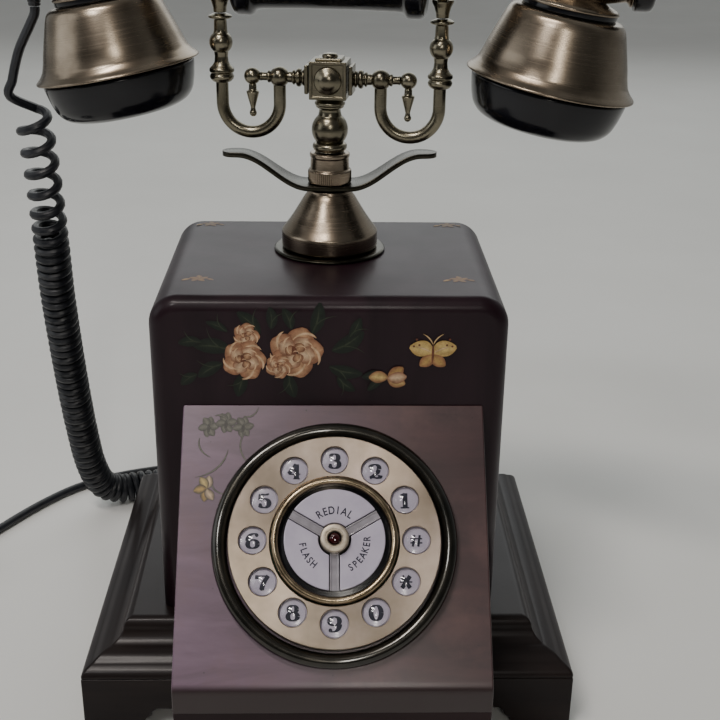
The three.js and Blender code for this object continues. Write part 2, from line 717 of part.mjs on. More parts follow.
function topRelief() {
  const high = -END_RADIUS - GAP;
  const low = high - 3;
  return turned([[0, low], [2.2, low], [2.9, high - 0.4], [2.9, high], [0, high]], 12)
    .translate(-CORD_FIXING, 0, 0);
}

piece(handset, 'handset_grip', handsetGrip(), blackPlastic());
piece(handset, 'handset_cord_top_relief', topRelief(), blackPlastic());
for (const [side, label, cap] of [[-1, 'left', 'mouthpiece_cap'], [1, 'right', 'earpiece_cap']]) {
  piece(cradle, `cradle_arm_${label}`, cradleArm(side), antiqueBrass());
  piece(cradle, `cradle_upright_${label}`, cradleUpright(side), antiqueBrass());
  piece(cradle, `cradle_fork_${label}`, cradleFork(side), antiqueBrass());
  piece(handset, `handset_neck_${label}`, handsetNeck(side), antiqueBrass());
  piece(handset, `handset_bell_${label}`, handsetBell(side), antiqueBrass());
  piece(handset, cap, handsetCap(side), blackPlastic());
  piece(handset, `handset_end_${label}`, handsetEnd(side), blackPlastic());
}

// ---------------------------------------------------------------- cords
const EXIT_HEIGHT = 12;
const CURLY_EXIT_X = -24;
const LINE_EXIT_X = 12;
const RELIEF_LENGTH = 9;
const exitY = FRAME.back + GAP + RELIEF_LENGTH;

function baseRelief(x, radius) {
  const profile = [
    [0, 0], [radius + 2.2, 0], [radius + 2.2, 1.6], [radius + 1.2, 2.2],
    [radius + 0.5, RELIEF_LENGTH], [0, RELIEF_LENGTH],
  ];
  return turned(profile, 12).rotateX(-Math.PI / 2).translate(x, FRAME.back + GAP, EXIT_HEIGHT);
}

// From the handset's left end, out past the cup, down to where the curls begin.
const LEAD_ROUTE = [
  [-108.4, 39.3, 250.9], [-108.6, 39.3, 248.6], [-110.6, 39.3, 244.6], [-113.2, 39.4, 240],
  [-115.6, 39.5, 235.4], [-117.6, 39.7, 230], [-119.4, 40, 224], [-121.2, 41, 218], [-121.4, 42.2, 214.2],
];
// The axis of the curls: it hangs back and down to the table, then runs behind the plinth.
const CURLY_ROUTE = [
  [-114.2, 43.4, 213.4], [-113.4, 45.6, 198], [-113.4, 50, 178], [-114.2, 56, 154], [-115.4, 63.6, 130],
  [-116.2, 73, 104], [-116.8, 83, 78], [-117, 93, 53], [-116.4, 102.6, 30], [-113.4, 110.6, 14.2],
  [-106, 116, 8], [-94, 120.4, 7.5], [-76, 123.4, 7.5], [-56, 124.6, 7.5], [-40, 124.6, 8.2],
  [-29, 121.6, 10.2], [CURLY_EXIT_X, 114, EXIT_HEIGHT], [CURLY_EXIT_X, exitY + GAP, EXIT_HEIGHT],
];
const LINE_REST = LINE_CORD / 2 + 0.05;
// Out of the plinth's back, down to the table, round to the left and out of sight.
const LINE_ROUTE = [
  [LINE_EXIT_X, exitY + GAP, EXIT_HEIGHT], [LINE_EXIT_X, 113, 11.8], [10.4, 124, 7.4],
  [4, 137, 2.8], [-7, 147, LINE_REST], [-24, 153, LINE_REST], [-46, 155, LINE_REST],
  [-70, 152.4, LINE_REST], [-92.5, 146.4, LINE_REST], [-112, 139, LINE_REST],
  [-130, 127, LINE_REST], [-145, 109, LINE_REST], [-158, 88, LINE_REST],
  [-165.6, 74, LINE_REST], [-169.2, 60, LINE_REST], [-169.8, 46, LINE_REST],
];
const COIL_CENTRE = [-200.8, 44];
const COIL_MEAN = 22.5;
const COIL_TURNS = { across: 3, high: 4 };

function lineCordCoil() {
  const half = COIL_TURNS.across * LINE_CORD / 2;
  const height = COIL_TURNS.high * LINE_CORD;
  const [inner, outer] = [COIL_MEAN - half, COIL_MEAN + half];
  return ring([
    [inner, 1.5], [inner + 1.5, 0.1], [outer - 1.5, 0.1], [outer, 1.5],
    [outer, height - 1.5], [outer - 1.5, height], [inner + 1.5, height], [inner, height - 1.5],
  ], 20).translate(...COIL_CENTRE, 0);
}

// Modular plug with its latch, lying beside the coil.
function linePlug() {
  const body = box([-3.8, -6, 0.1], [3.8, 6, 6.6]);
  const latch = box([-1.6, -9, 6], [1.6, 3, 7.4]);
  return join(body, latch).rotateZ(Math.PI / 2).translate(COIL_CENTRE[0] + 6, COIL_CENTRE[1] - 42, 0);
}

piece(group, 'handset_cord_base_relief', baseRelief(CURLY_EXIT_X, CURLY_WIRE / 2), blackPlastic());
piece(group, 'line_cord_relief', baseRelief(LINE_EXIT_X, LINE_CORD / 2), blackPlastic());
piece(group, 'handset_cord_lead', tube(LEAD_ROUTE, CURLY_WIRE / 2, 7, 8), cordBlack());
piece(group, 'handset_cord_curls', tube(CURLY_ROUTE, CURLY_WIDTH / 2, 22, 10), cordBlack());
piece(group, 'line_cord', tube(LINE_ROUTE, LINE_CORD / 2, 30, 8), cordBlack());
piece(group, 'line_cord_coil', lineCordCoil(), cordBlack());
piece(group, 'line_plug', linePlug(), keyPlastic());

export default group;
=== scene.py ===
"""Looks of the retro desk telephone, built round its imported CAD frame.

Local shapes are in millimetres, in the frame of the piece they belong to; positions come from the CAD nodes.
"""
import json
import math
import random

import bmesh
import bpy
from mathutils import Matrix, Vector


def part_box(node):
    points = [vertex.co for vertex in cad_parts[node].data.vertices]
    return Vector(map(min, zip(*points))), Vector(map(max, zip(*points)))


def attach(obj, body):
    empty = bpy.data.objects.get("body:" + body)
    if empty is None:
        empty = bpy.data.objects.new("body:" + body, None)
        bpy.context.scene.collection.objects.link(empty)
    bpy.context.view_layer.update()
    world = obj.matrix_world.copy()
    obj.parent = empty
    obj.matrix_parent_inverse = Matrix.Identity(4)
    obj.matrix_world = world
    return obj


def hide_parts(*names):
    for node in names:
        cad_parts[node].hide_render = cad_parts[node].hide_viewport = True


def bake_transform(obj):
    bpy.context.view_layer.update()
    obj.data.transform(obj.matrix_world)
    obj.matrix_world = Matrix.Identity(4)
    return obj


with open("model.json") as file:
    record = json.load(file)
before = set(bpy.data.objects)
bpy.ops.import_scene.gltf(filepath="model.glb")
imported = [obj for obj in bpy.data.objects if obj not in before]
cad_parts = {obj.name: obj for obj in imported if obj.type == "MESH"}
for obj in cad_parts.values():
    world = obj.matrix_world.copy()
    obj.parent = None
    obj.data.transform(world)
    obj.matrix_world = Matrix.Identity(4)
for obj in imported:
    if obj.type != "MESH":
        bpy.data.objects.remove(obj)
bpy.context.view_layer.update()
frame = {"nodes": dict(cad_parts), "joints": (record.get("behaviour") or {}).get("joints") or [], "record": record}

MM = 0.001
RECORD = frame["record"]
BODY = {node: body for body, nodes in RECORD["behaviour"]["bodies"].items() for node in nodes}
JOINTS = {joint["name"]: joint for joint in frame["joints"]}


# ---------------------------------------------------------------- places
def middle(node):
    low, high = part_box(node)
    return (low + high) / 2


CASE_LOW, CASE_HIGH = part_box("case_shell")
PANEL_LOW, PANEL_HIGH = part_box("dial_panel")
DESK_LOW, DESK_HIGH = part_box("desk_box")
FRAME_LOW, FRAME_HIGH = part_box("plinth_frame")
MOULDING_LOW, MOULDING_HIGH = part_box("plinth_moulding")

# clockwise from the top of the dial
KEY_NAMES = ("3", "2", "1", "hash", "star", "0", "9", "8", "7", "6", "5", "4")
KEY_CIRCLE = 27.45
KEY_HOLE = 4.65
HUB_RADIUS = 4.8
CUP_TILT = math.radians(11)
RIM_X = 79.25
RIM_HEIGHT = 65.2
ARM_HEIGHT = 64.6
OUTER_LEG = 40.15
INNER_LEG = 18.65
BEND_HEIGHT = 54.75


def column_frame():
    return Matrix.Translation((0, middle("column_flange").y, CASE_HIGH.z))


def cradle_frame():
    across = middle("cradle_fork_right") - middle("cradle_fork_left")
    return column_frame() @ Matrix.Rotation(math.atan2(across.y, across.x), 4, "Z")


def shifted(place, x, y, z):
    return place @ Matrix.Translation((x * MM, y * MM, z * MM))


def laid_along(place, side):
    """The frame whose Z axis lies along +X (side 1) or -X (side -1) of another."""
    return place @ Matrix.Rotation(side * math.pi / 2, 4, "Y")


def dial_frame():
    outward = -Vector(JOINTS["key_3_press"]["axis"]).normalized()
    centre = sum((middle(f"key_{name}") for name in KEY_NAMES), Vector()) / len(KEY_NAMES)
    edge = Vector((0, PANEL_HIGH.y, PANEL_HIGH.z))
    origin = centre - outward * (centre - edge).dot(outward)
    return Matrix.Translation(origin) @ Matrix.Rotation(math.atan2(-outward.y, outward.z), 4, "X")


COLUMN = column_frame()
CRADLE = cradle_frame()
DIAL = dial_frame()
WORLD = Matrix.Identity(4)
HANDSET_HEIGHT = (middle("handset_grip").z - CASE_HIGH.z) / MM
HANDSET = shifted(CRADLE, 0, 0, HANDSET_HEIGHT)
SIDES = ((-1, "left"), (1, "right"))


def cup_frame(side):
    rim = shifted(CRADLE, side * RIM_X, 0, RIM_HEIGHT)
    return rim @ Matrix.Rotation(side * CUP_TILT, 4, "Y")


# ---------------------------------------------------------------- camera
def make_camera():
    """A view from 41 cm in front of the middle, 30 cm up, tipped down at the dial."""
    yaw, pitch, roll = math.radians(1.57), math.radians(22.74), math.radians(0.77)
    forward = Vector((math.sin(yaw) * math.cos(pitch), math.cos(yaw) * math.cos(pitch), -math.sin(pitch)))
    right = Vector((math.cos(yaw), -math.sin(yaw), 0))
    up = right.cross(forward)
    across = math.cos(roll) * right + math.sin(roll) * up
    upright = -math.sin(roll) * right + math.cos(roll) * up
    turn = Matrix((across, upright, -forward)).transposed().to_4x4()
    camera = bpy.data.objects.new("camera", bpy.data.cameras.new("camera"))
    camera.matrix_world = Matrix.Translation((0.0003, -0.4146, 0.3010)) @ turn
    camera.data.lens = 59.3
    camera.data.sensor_width = 36
    camera.data.clip_start = 0.01
    bpy.context.scene.collection.objects.link(camera)
    bpy.context.scene.camera = camera


make_camera()


# ---------------------------------------------------------------- material tools
class Surface:
    """A Principled material and the few nodes that feed it."""

    def __init__(self, name, **sockets):
        self.material = bpy.data.materials.new(name)
        self.material.use_nodes = True
        self.tree = self.material.node_tree
        self.shader = self.tree.nodes["Principled BSDF"]
        for socket, value in sockets.items():
            self.shader.inputs[socket.replace("_", " ")].default_value = value
        self.place = self.tree.nodes.new("ShaderNodeTexCoord").outputs["Object"]

    def node(self, kind, **values):
        made = self.tree.nodes.new(kind)
        for name, value in values.items():
            if name in made.inputs:
                made.inputs[name].default_value = value
            else:
                setattr(made, name, value)
        return made

    def link(self, output, target):
        self.tree.links.new(output, target)

    def stretched(self, x, y, z):
        mapping = self.node("ShaderNodeMapping")
        mapping.inputs["Scale"].default_value = (x, y, z)
        self.link(self.place, mapping.inputs["Vector"])
        return mapping.outputs["Vector"]

    def noise(self, scale, detail=4.0, roughness=0.55, stretch=(1, 1, 1), distortion=0.0):
        made = self.node(
            "ShaderNodeTexNoise", Scale=scale, Detail=detail, Roughness=roughness, Distortion=distortion,
        )
        self.link(self.stretched(*stretch), made.inputs["Vector"])
        return made.outputs["Fac"]

    def specks(self, scale, size):
        """1 inside small scattered dots, 0 elsewhere."""
        made = self.node("ShaderNodeTexVoronoi", Scale=scale)
        self.link(self.stretched(1, 1, 1), made.inputs["Vector"])
        return self.ramp(made.outputs["Distance"], (0.0, (1, 1, 1)), (size, (0, 0, 0)))

    def ramp(self, factor, *stops):
        made = self.node("ShaderNodeValToRGB")
        elements = made.color_ramp.elements
        while len(elements) < len(stops):
            elements.new(0.5)
        for element, (at, color) in zip(elements, stops):
            element.position = at
            element.color = (*color, 1)
        self.link(factor, made.inputs["Fac"])
        return made.outputs["Color"]

    def mixed(self, factor, first, second, blend="MIX"):
        made = self.node("ShaderNodeMix", data_type="RGBA", blend_type=blend)
        for value, target in ((factor, made.inputs[0]), (first, made.inputs[6]), (second, made.inputs[7])):
            if hasattr(value, "is_linked"):
                self.link(value, target)
            elif isinstance(value, tuple):
                target.default_value = (*value, 1)
            else:
                target.default_value = value
        return made.outputs[2]

    def color(self, output):
        self.link(output, self.shader.inputs["Base Color"])

    def between(self, value, start, stop):
        """0 where the value is start, 1 where it is stop."""
        spread = self.node("ShaderNodeMapRange")
        spread.inputs["From Min"].default_value = start
        spread.inputs["From Max"].default_value = stop
        self.link(value, spread.inputs["Value"])
        return spread.outputs["Result"]

    def roughness(self, factor, low, high):
        spread = self.node("ShaderNodeMapRange")
        spread.inputs["To Min"].default_value = low
        spread.inputs["To Max"].default_value = high
        self.link(factor, spread.inputs["Value"])
        self.link(spread.outputs["Result"], self.shader.inputs["Roughness"])

    def bump(self, *layers):
        """Each layer is (height output, depth in millimetres)."""
        normal = None
        for height, depth in layers:
            made = self.node("ShaderNodeBump", Distance=depth * MM, Strength=1.0)
            self.link(height, made.inputs["Height"])
            if normal is not None:
                self.link(normal, made.inputs["Normal"])
            normal = made.outputs["Normal"]
        self.link(normal, self.shader.inputs["Normal"])


# ---------------------------------------------------------------- materials
def clouded(name, scale, dark, light, roughness, depth=0.0, detail=4, span=(0.3, 0.7), **sockets):
    """A surface whose colour, gloss and small relief all follow one soft cloud."""
    surface = Surface(name, **sockets)
    cloud = surface.noise(scale, detail=detail)
    surface.color(surface.ramp(cloud, (span[0], dark), (span[1], light)))
    surface.roughness(cloud, *roughness)
    if depth:
        surface.bump((cloud, depth))
    return surface


def antique_brass(name, dark, middle, light):
    """Brown-patinated brass, faintly brushed round the axis of each turned piece."""
    surface = Surface(name, Metallic=1.0, Anisotropic=0.2)
    cloud = surface.noise(60, detail=5)
    lines = surface.noise(1, detail=3, stretch=(30, 30, 2600))
    tone = surface.ramp(cloud, (0.3, dark), (0.5, middle), (0.72, light))
    faint = surface.ramp(lines, (0.3, (0.62, 0.60, 0.58)), (0.7, (1, 1, 1)))
    surface.color(surface.mixed(0.14, tone, faint, "MULTIPLY"))
    surface.roughness(lines, 0.21, 0.31)
    surface.bump((lines, 0.0018), (cloud, 0.012))
    return surface.material


def satin_brass():
    """The dial plate's lighter brass, brushed across."""
    surface = Surface("satin_brass", Metallic=1.0, Anisotropic=0.6)
    cloud = surface.noise(45, detail=4)
    lines = surface.noise(1, detail=3, stretch=(2200, 60, 60))
    dark, middle, light = (0.20, 0.164, 0.124), (0.34, 0.278, 0.220), (0.47, 0.385, 0.330)
    surface.color(surface.ramp(cloud, (0.3, dark), (0.55, middle), (0.75, light)))
    surface.roughness(lines, 0.26, 0.42)
    surface.bump((lines, 0.008))
    return surface.material


def polished_brass():
    return clouded(
        "polished_brass", 160, (0.20, 0.150, 0.090), (0.42, 0.335, 0.225), (0.14, 0.3), 0.01,
        span=(0.3, 0.65), Metallic=1.0,
    ).material


def pale_brass():
    """The hub's worn, almost silvery brass."""
    return clouded(
        "pale_brass", 420, (0.29, 0.245, 0.19), (0.48, 0.42, 0.34), (0.32, 0.48), 0.02,
        detail=5, span=(0.3, 0.65), Metallic=0.8,
    ).material


def dark_brass():
    return clouded(
        "dark_brass", 110, (0.014, 0.014, 0.012), (0.042, 0.038, 0.030), (0.16, 0.3), 0.01,
        detail=5, Metallic=0.75, Coat_Weight=0.6, Coat_Roughness=0.06,
    ).material


def lacquered_wood(name, dark, light, grain):
    """Stained wood under lacquer; grain is the pattern's scale along X, Y and Z, least along the fibres."""
    surface = Surface(name, Specular_IOR_Level=0.17, Coat_Weight=0.16, Coat_Roughness=0.2)
    surface.shader.inputs["Coat Tint"].default_value = (0.86, 0.76, 0.95, 1)
    fibres = surface.noise(1, detail=6, stretch=grain, distortion=0.6)
    peel = surface.noise(380, detail=2)
    surface.color(surface.ramp(fibres, (0.32, dark), (0.7, light)))
    surface.roughness(surface.noise(34, detail=5), 0.34, 0.5)
    surface.bump((fibres, 0.018), (peel, 0.012))
    return surface.material


def panel_varnish():
    """Worn wine-brown varnish with rubbed wear, pits and a dark front; painted light and shade make it lighter
    violet on the left, where light falls, and darker brown on the right.
    """
    surface = Surface("panel_varnish", Coat_Weight=0.35, Coat_Roughness=0.22)
    fibres = surface.noise(1, detail=7, stretch=(26, 130, 130), distortion=0.8)
    wear = surface.noise(26, detail=7, roughness=0.65)
    axes = surface.node("ShaderNodeSeparateXYZ")
    surface.link(surface.place, axes.inputs[0])
    half = PANEL_HIGH.x
    # painted light and shade: the varnish is coloured lighter violet on the left, where light falls, fading to
    # darker brown on the shaded right
    across = surface.between(axes.outputs["X"], -half, 0.55 * half)
    violet = surface.ramp(fibres, (0.3, (0.100, 0.052, 0.088)), (0.7, (0.172, 0.100, 0.160)))
    brown = surface.ramp(fibres, (0.3, (0.028, 0.0105, 0.0125)), (0.7, (0.060, 0.0235, 0.0255)))
    rubbing = surface.ramp(wear, (0.5, (0, 0, 0)), (0.72, (0.55, 0.55, 0.55)))
    # real rubbed wear, laid over the painted light and shade that runs from left to right
    rubbed = surface.mixed(rubbing, surface.mixed(across, violet, brown), (0.125, 0.060, 0.056))
    pitted = surface.mixed(surface.specks(170, 0.07), rubbed, (0.012, 0.005, 0.007))
    front = surface.between(axes.outputs["Y"], PANEL_LOW.y + 1.6 * MM, PANEL_LOW.y + 0.4 * MM)
    surface.color(surface.mixed(front, pitted, (0.016, 0.0055, 0.0065)))
    surface.roughness(wear, 0.30, 0.52)
    surface.bump((wear, 0.05), (fibres, 0.03))
    return surface.material


def black_plastic():
    surface = clouded(
        "black_plastic", 90, (0.0030, 0.0035, 0.0055), (0.0060, 0.0065, 0.0095), (0.12, 0.24),
        span=(0.35, 0.7), Specular_IOR_Level=0.3, Coat_Weight=0.08, Coat_Roughness=0.05,
    )
    surface.bump((surface.noise(300, detail=2), 0.006))
    return surface.material


def key_plastic():
    return clouded(
        "key_plastic", 140, (0.47, 0.43, 0.54), (0.54, 0.50, 0.61), (0.18, 0.3),
        detail=3, span=(0.35, 0.7), Coat_Weight=0.5, Coat_Roughness=0.08,
    ).material


def clear_plastic():
    surface = Surface("clear_plastic", Alpha=0.045, Metallic=1.0, Roughness=0.12)
    surface.color(surface.ramp(surface.noise(90), (0.3, (0.86, 0.86, 0.90)), (0.7, (0.95, 0.95, 0.98))))
    surface.material.surface_render_method = "BLENDED"
    return surface.material


def spoke_plastic():
    return clouded(
        "spoke_plastic", 200, (0.24, 0.225, 0.25), (0.34, 0.32, 0.36), (0.1, 0.22),
        detail=3, Coat_Weight=0.8, Coat_Roughness=0.05,
    ).material


def ink():
    return clouded(
        "numeral_ink", 900, (0.003, 0.004, 0.016), (0.009, 0.010, 0.030), (0.25, 0.4),
        detail=2, span=(0.3, 0.75), Specular_IOR_Level=0.3,
    ).material


def ruby_glass():
    surface = Surface("ruby_glass", Coat_Weight=1.0, Transmission_Weight=0.25, Roughness=0.08)
    facets = surface.noise(700, detail=1)
    surface.color(surface.ramp(facets, (0.3, (0.022, 0.001, 0.002)), (0.7, (0.060, 0.002, 0.004))))
    surface.bump((facets, 0.03))
    return surface.material


def cord_rubber():
    return clouded(
        "cord_rubber", 260, (0.0065, 0.0075, 0.0105), (0.0125, 0.0140, 0.0190), (0.30, 0.46), 0.015,
    ).material


def plated_steel():
    surface = Surface("plated_steel", Metallic=1.0)
    lines = surface.noise(1, detail=3, stretch=(1400, 40, 40))
    surface.color(surface.ramp(lines, (0.3, (0.30, 0.31, 0.32)), (0.7, (0.46, 0.47, 0.47))))
    surface.roughness(lines, 0.28, 0.45)
    surface.bump((lines, 0.01))
    return surface.material


def circuit_laminate():
    """Green board with paler tracks between the fields of a brick pattern."""
    surface = Surface("circuit_laminate", Coat_Weight=0.3)
    tracks = surface.node("ShaderNodeTexBrick", Scale=260.0)
    surface.link(surface.stretched(1, 1, 1), tracks.inputs["Vector"])
    tracks.inputs["Color1"].default_value = (0.010, 0.110, 0.040, 1)
    tracks.inputs["Color2"].default_value = (0.016, 0.150, 0.055, 1)
    tracks.inputs["Mortar"].default_value = (0.10, 0.24, 0.10, 1)
    surface.color(tracks.outputs["Color"])
    surface.roughness(surface.noise(200), 0.3, 0.5)
    return surface.material


def oil_paint():
    """Brushed-on colours, carried by the strokes' own colour attribute and worn thin in places."""
    surface = Surface("oil_paint", Specular_IOR_Level=0.3)
    hue = surface.node("ShaderNodeAttribute", attribute_name="paint")
    bristle = surface.noise(520, detail=4, roughness=0.7)
    worn = surface.ramp(bristle, (0.3, (0.45, 0.42, 0.40)), (0.62, (1, 1, 1)))
    surface.color(surface.mixed(0.8, hue.outputs["Color"], worn, "MULTIPLY"))
    surface.roughness(bristle, 0.3, 0.55)
    surface.bump((bristle, 0.05))
    return surface.material


def pale_floor():
    surface = Surface("pale_floor")
    tones = (0.3, (0.74, 0.74, 0.72)), (0.7, (0.79, 0.79, 0.77))
    surface.color(surface.ramp(surface.noise(6, detail=5), *tones))
    surface.roughness(surface.noise(20), 0.42, 0.55)
    return surface.material


BRASS = antique_brass("antique_brass", (0.165, 0.132, 0.098), (0.275, 0.226, 0.172), (0.360, 0.300, 0.232))
OLIVE_BRASS = antique_brass(
    "olive_brass", (0.027, 0.025, 0.018), (0.041, 0.038, 0.029), (0.060, 0.055, 0.042),
)
CRADLE_BRASS = antique_brass(
    "cradle_brass", (0.115, 0.103, 0.073), (0.190, 0.172, 0.125), (0.265, 0.240, 0.178),
)
SATIN_BRASS = satin_brass()
BRIGHT_BRASS = polished_brass()
HUB_BRASS = pale_brass()
DARK_BRASS = dark_brass()
CASE_WOOD = lacquered_wood("case_wood", (0.0095, 0.0034, 0.0058), (0.0190, 0.0075, 0.0115), (60, 60, 9))
DESK_WOOD = lacquered_wood("desk_wood", (0.0120, 0.0040, 0.0048), (0.0250, 0.0090, 0.0100), (9, 60, 60))
PLINTH_WOOD = lacquered_wood("plinth_wood", (0.0060, 0.0040, 0.0038), (0.0150, 0.0095, 0.0080), (12, 12, 90))
PANEL_WOOD = panel_varnish()
BLACK = black_plastic()
KEY = key_plastic()
CLEAR = clear_plastic()
SPOKE = spoke_plastic()
INK = ink()
RUBY = ruby_glass()
CORD = cord_rubber()
STEEL = plated_steel()
LAMINATE = circuit_laminate()
PAINT = oil_paint()


# ---------------------------------------------------------------- shape tools
def arc(x, y, radius, start, end, steps=12, squeeze=1.0):
    """Points on an arc about (x, y), angles in degrees; squeeze scales its height."""
    angles = [math.radians(start + (end - start) * i / steps) for i in range(steps + 1)]
    return [(x + radius * math.cos(a), y + radius * squeeze * math.sin(a)) for a in angles]


def soften(profile, radius, closed=False, steps=4):
    """A profile with each corner turned into a small curve."""
    points = [Vector(p) for p in profile]
    count = len(points)
    out = []
    for i, corner in enumerate(points):
        if not closed and i in (0, count - 1):
            out.append(tuple(corner))
            continue
        before = points[i - 1] - corner
        after = points[(i + 1) % count] - corner
        start = corner + before.normalized() * min(radius, 0.45 * before.length)
        end = corner + after.normalized() * min(radius, 0.45 * after.length)
        for k in range(steps + 1):
            t = k / steps
            out.append(tuple((1 - t) ** 2 * start + 2 * t * (1 - t) * corner + t * t * end))
    return out


def solid(name, points, faces, place=WORLD, sharp=32):
    """A mesh object from millimetre points, facing out, smooth but for its sharp edges."""
    mesh = bpy.data.meshes.new(name)
    mesh.from_pydata([[c * MM for c in p] for p in points], [], faces)
    work = bmesh.new()
    work.from_mesh(mesh)
    bmesh.ops.remove_doubles(work, verts=work.verts, dist=1e-7)
    bmesh.ops.recalc_face_normals(work, faces=work.faces)
    work.to_mesh(mesh)
    work.free()
    shade(mesh, sharp)
    made = bpy.data.objects.new(name, mesh)
    made.matrix_world = place
    bpy.context.scene.collection.objects.link(made)
    return made


def shade(mesh, sharp=32):
    mesh.shade_smooth()
    mesh.set_sharp_from_angle(angle=math.radians(sharp))


def loft(name, loops, place=WORLD, caps=True, around=False, sharp=32):
    """Skin over loops of equal count; around joins the last loop to the first."""
    count = len(loops[0])
    points = [p for loop in loops for p in loop]
    faces = []
    for row in range(len(loops) if around else len(loops) - 1):
        low, high = row * count, (row + 1) % len(loops) * count
        for i in range(count):
            j = (i + 1) % count
            faces.append((low + i, low + j, high + j, high + i))
    if caps and not around:
        faces.append(tuple(range(count))[::-1])
        faces.append(tuple(range(len(points) - count, len(points))))
    return solid(name, points, faces, place, sharp)


def lathe(name, profile, place=WORLD, segments=96, closed=False, ripple=None, sharp=32):
    """A turned piece about Z from (radius, height) points. ripple is (count, depth, low, high): knurling."""
    loops = []
    for i in range(segments):
        angle = 2 * math.pi * i / segments
        loop = []
        for radius, height in profile:
            if ripple and radius > 0 and ripple[2] < height < ripple[3]:
                radius -= ripple[1] * (0.5 + 0.5 * math.cos(ripple[0] * angle))
            loop.append((radius * math.cos(angle), radius * math.sin(angle), height))
        loops.append(loop)
    count = len(profile)
    points = [p for loop in loops for p in loop]
    faces = []
    for row in range(segments):
        low, high = row * count, (row + 1) % segments * count
        for i in range(count if closed else count - 1):
            j = (i + 1) % count
            on_axis = [k for k in (i, j) if profile[k][0] == 0]
            if len(on_axis) == 2:
                continue
            if on_axis == [i]:
                faces.append((low + i, low + j, high + j))
            elif on_axis == [j]:
                faces.append((low + i, low + j, high + i))
            else:
                faces.append((low + i, low + j, high + j, high + i))
    return solid(name, points, faces, place, sharp)


def prism(name, outline, low, high, axis="z", place=WORLD):
    """An outline extruded along an axis; its points are (x, y), (y, z) or (x, z)."""
    slot = "xyz".index(axis)
    loops = [[(*point[:slot], level, *point[slot:]) for point in outline] for level in (low, high)]
    return loft(name, loops, place)


def rod(name, radius, low, high, place=WORLD, segments=48):
    return lathe(name, [(0, low), (radius, low), (radius, high), (0, high)], place, segments)


def brick(name, low, high, place=WORLD):
    outline = [(low[0], low[1]), (high[0], low[1]), (high[0], high[1]), (low[0], high[1])]
    return prism(name, outline, low[2], high[2], "z", place)


def apply(target):
    """Bakes an object's modifiers into its mesh."""
    bpy.context.view_layer.update()
    mesh = bpy.data.meshes.new_from_object(target.evaluated_get(bpy.context.evaluated_depsgraph_get()))
    target.modifiers.clear()
    target.data = mesh


def carve(target, *tools):
    for tool in tools:
        cut = target.modifiers.new("cut", "BOOLEAN")
        cut.operation = "DIFFERENCE"
        cut.solver = "EXACT"
        cut.object = tool
    apply(target)
    shade(target.data)
    for tool in tools:
        bpy.data.objects.remove(tool)
    return target


def bevel(target, width, segments=3, angle=32):
    """Rounds the sharp edges and keeps the flat faces flat."""
    edge = target.modifiers.new("bevel", "BEVEL")
    edge.width = width * MM
    edge.segments = segments
    edge.limit_method = "ANGLE"
    edge.angle_limit = math.radians(angle)
    apply(target)
    shade(target.data, 60)
    target.modifiers.new("flat", "WEIGHTED_NORMAL").weight = 100
    apply(target)
    return target


def smooth_path(points, step):
    """A Catmull-Rom curve through points, sampled about every step."""
    guide = [Vector(p) for p in points]
    guide = [2 * guide[0] - guide[1], *guide, 2 * guide[-1] - guide[-2]]
    out = []
    for a, b, c, d in zip(guide, guide[1:], guide[2:], guide[3:]):
        count = max(2, round((c - b).length / step))
        for i in range(count):
            t = i / count
            bend = 2 * a - 5 * b + 4 * c - d
            twist = -a + 3 * b - 3 * c + d
            out.append(0.5 * (2 * b + (c - a) * t + bend * t * t + twist * t ** 3))
    return [*out, guide[-2]]


def travelling_frames(path):
    """For each point of a path its direction and two cross directions, carried along without twist."""
    count = len(path)
    ahead = [(path[min(i + 1, count - 1)] - path[max(i - 1, 0)]).normalized() for i in range(count)]
    side = ahead[0].orthogonal().normalized()
    frames = []
    for direction in ahead:
        side = (side - direction * side.dot(direction)).normalized()
        frames.append((direction, side, direction.cross(side)))
    return frames


def sweep(name, path, radius, sides=16, place=WORLD):
    """A round tube; radius is a number or one for each point."""
    radii = radius if isinstance(radius, list) else [radius] * len(path)
    loops = []
    for point, size, (_, side, other) in zip(path, radii, travelling_frames(path)):
        angles = [2 * math.pi * i / sides for i in range(sides)]
        loops.append([point + size * (math.cos(a) * side + math.sin(a) * other) for a in angles])
    return loft(name, loops, place)


def dress(made, node, finish, stands=True):
    """Gives a piece its material and body; stands is False for a detail added to a node."""
    made.data.materials.clear()
    made.data.materials.append(finish)
    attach(made, BODY[node])
    if stands:
        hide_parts(node)
    return made


def length_of(path):
    return sum((b - a).length for a, b in zip(path, path[1:]))


# ---------------------------------------------------------------- cords
CURLY_WIRE = 3.6
CURLY_WIDTH = 14.7
LINE_CORD = 4.1
# From the handset's left end, out past the cup, down to where the curls begin.
LEAD_ROUTE = [
    (-108.4, 39.3, 250.9), (-108.6, 39.3, 248.6), (-110.6, 39.3, 244.6), (-113.2, 39.4, 240),
    (-115.6, 39.5, 235.4), (-117.6, 39.7, 230), (-119.4, 40, 224), (-121.2, 41, 218),
]
# The axis of the curls: it hangs back and down to the table, then runs behind the plinth.
CURLY_ROUTE = [
    (-114.2, 43.4, 213.4), (-113.4, 45.6, 198), (-113.4, 50, 178), (-114.2, 56, 154), (-115.4, 63.6, 130),
    (-116.2, 73, 104), (-116.8, 83, 78), (-117, 93, 53), (-116.4, 102.6, 30), (-113.4, 110.6, 14.2),
    (-106, 116, 8), (-94, 120.4, 7.5), (-76, 123.4, 7.5), (-56, 124.6, 7.5), (-40, 124.6, 8.2),
    (-29, 121.6, 10.2), (-24, 114, 12), (-24, 108, 12),
]
LINE_REST = LINE_CORD / 2 + 0.05
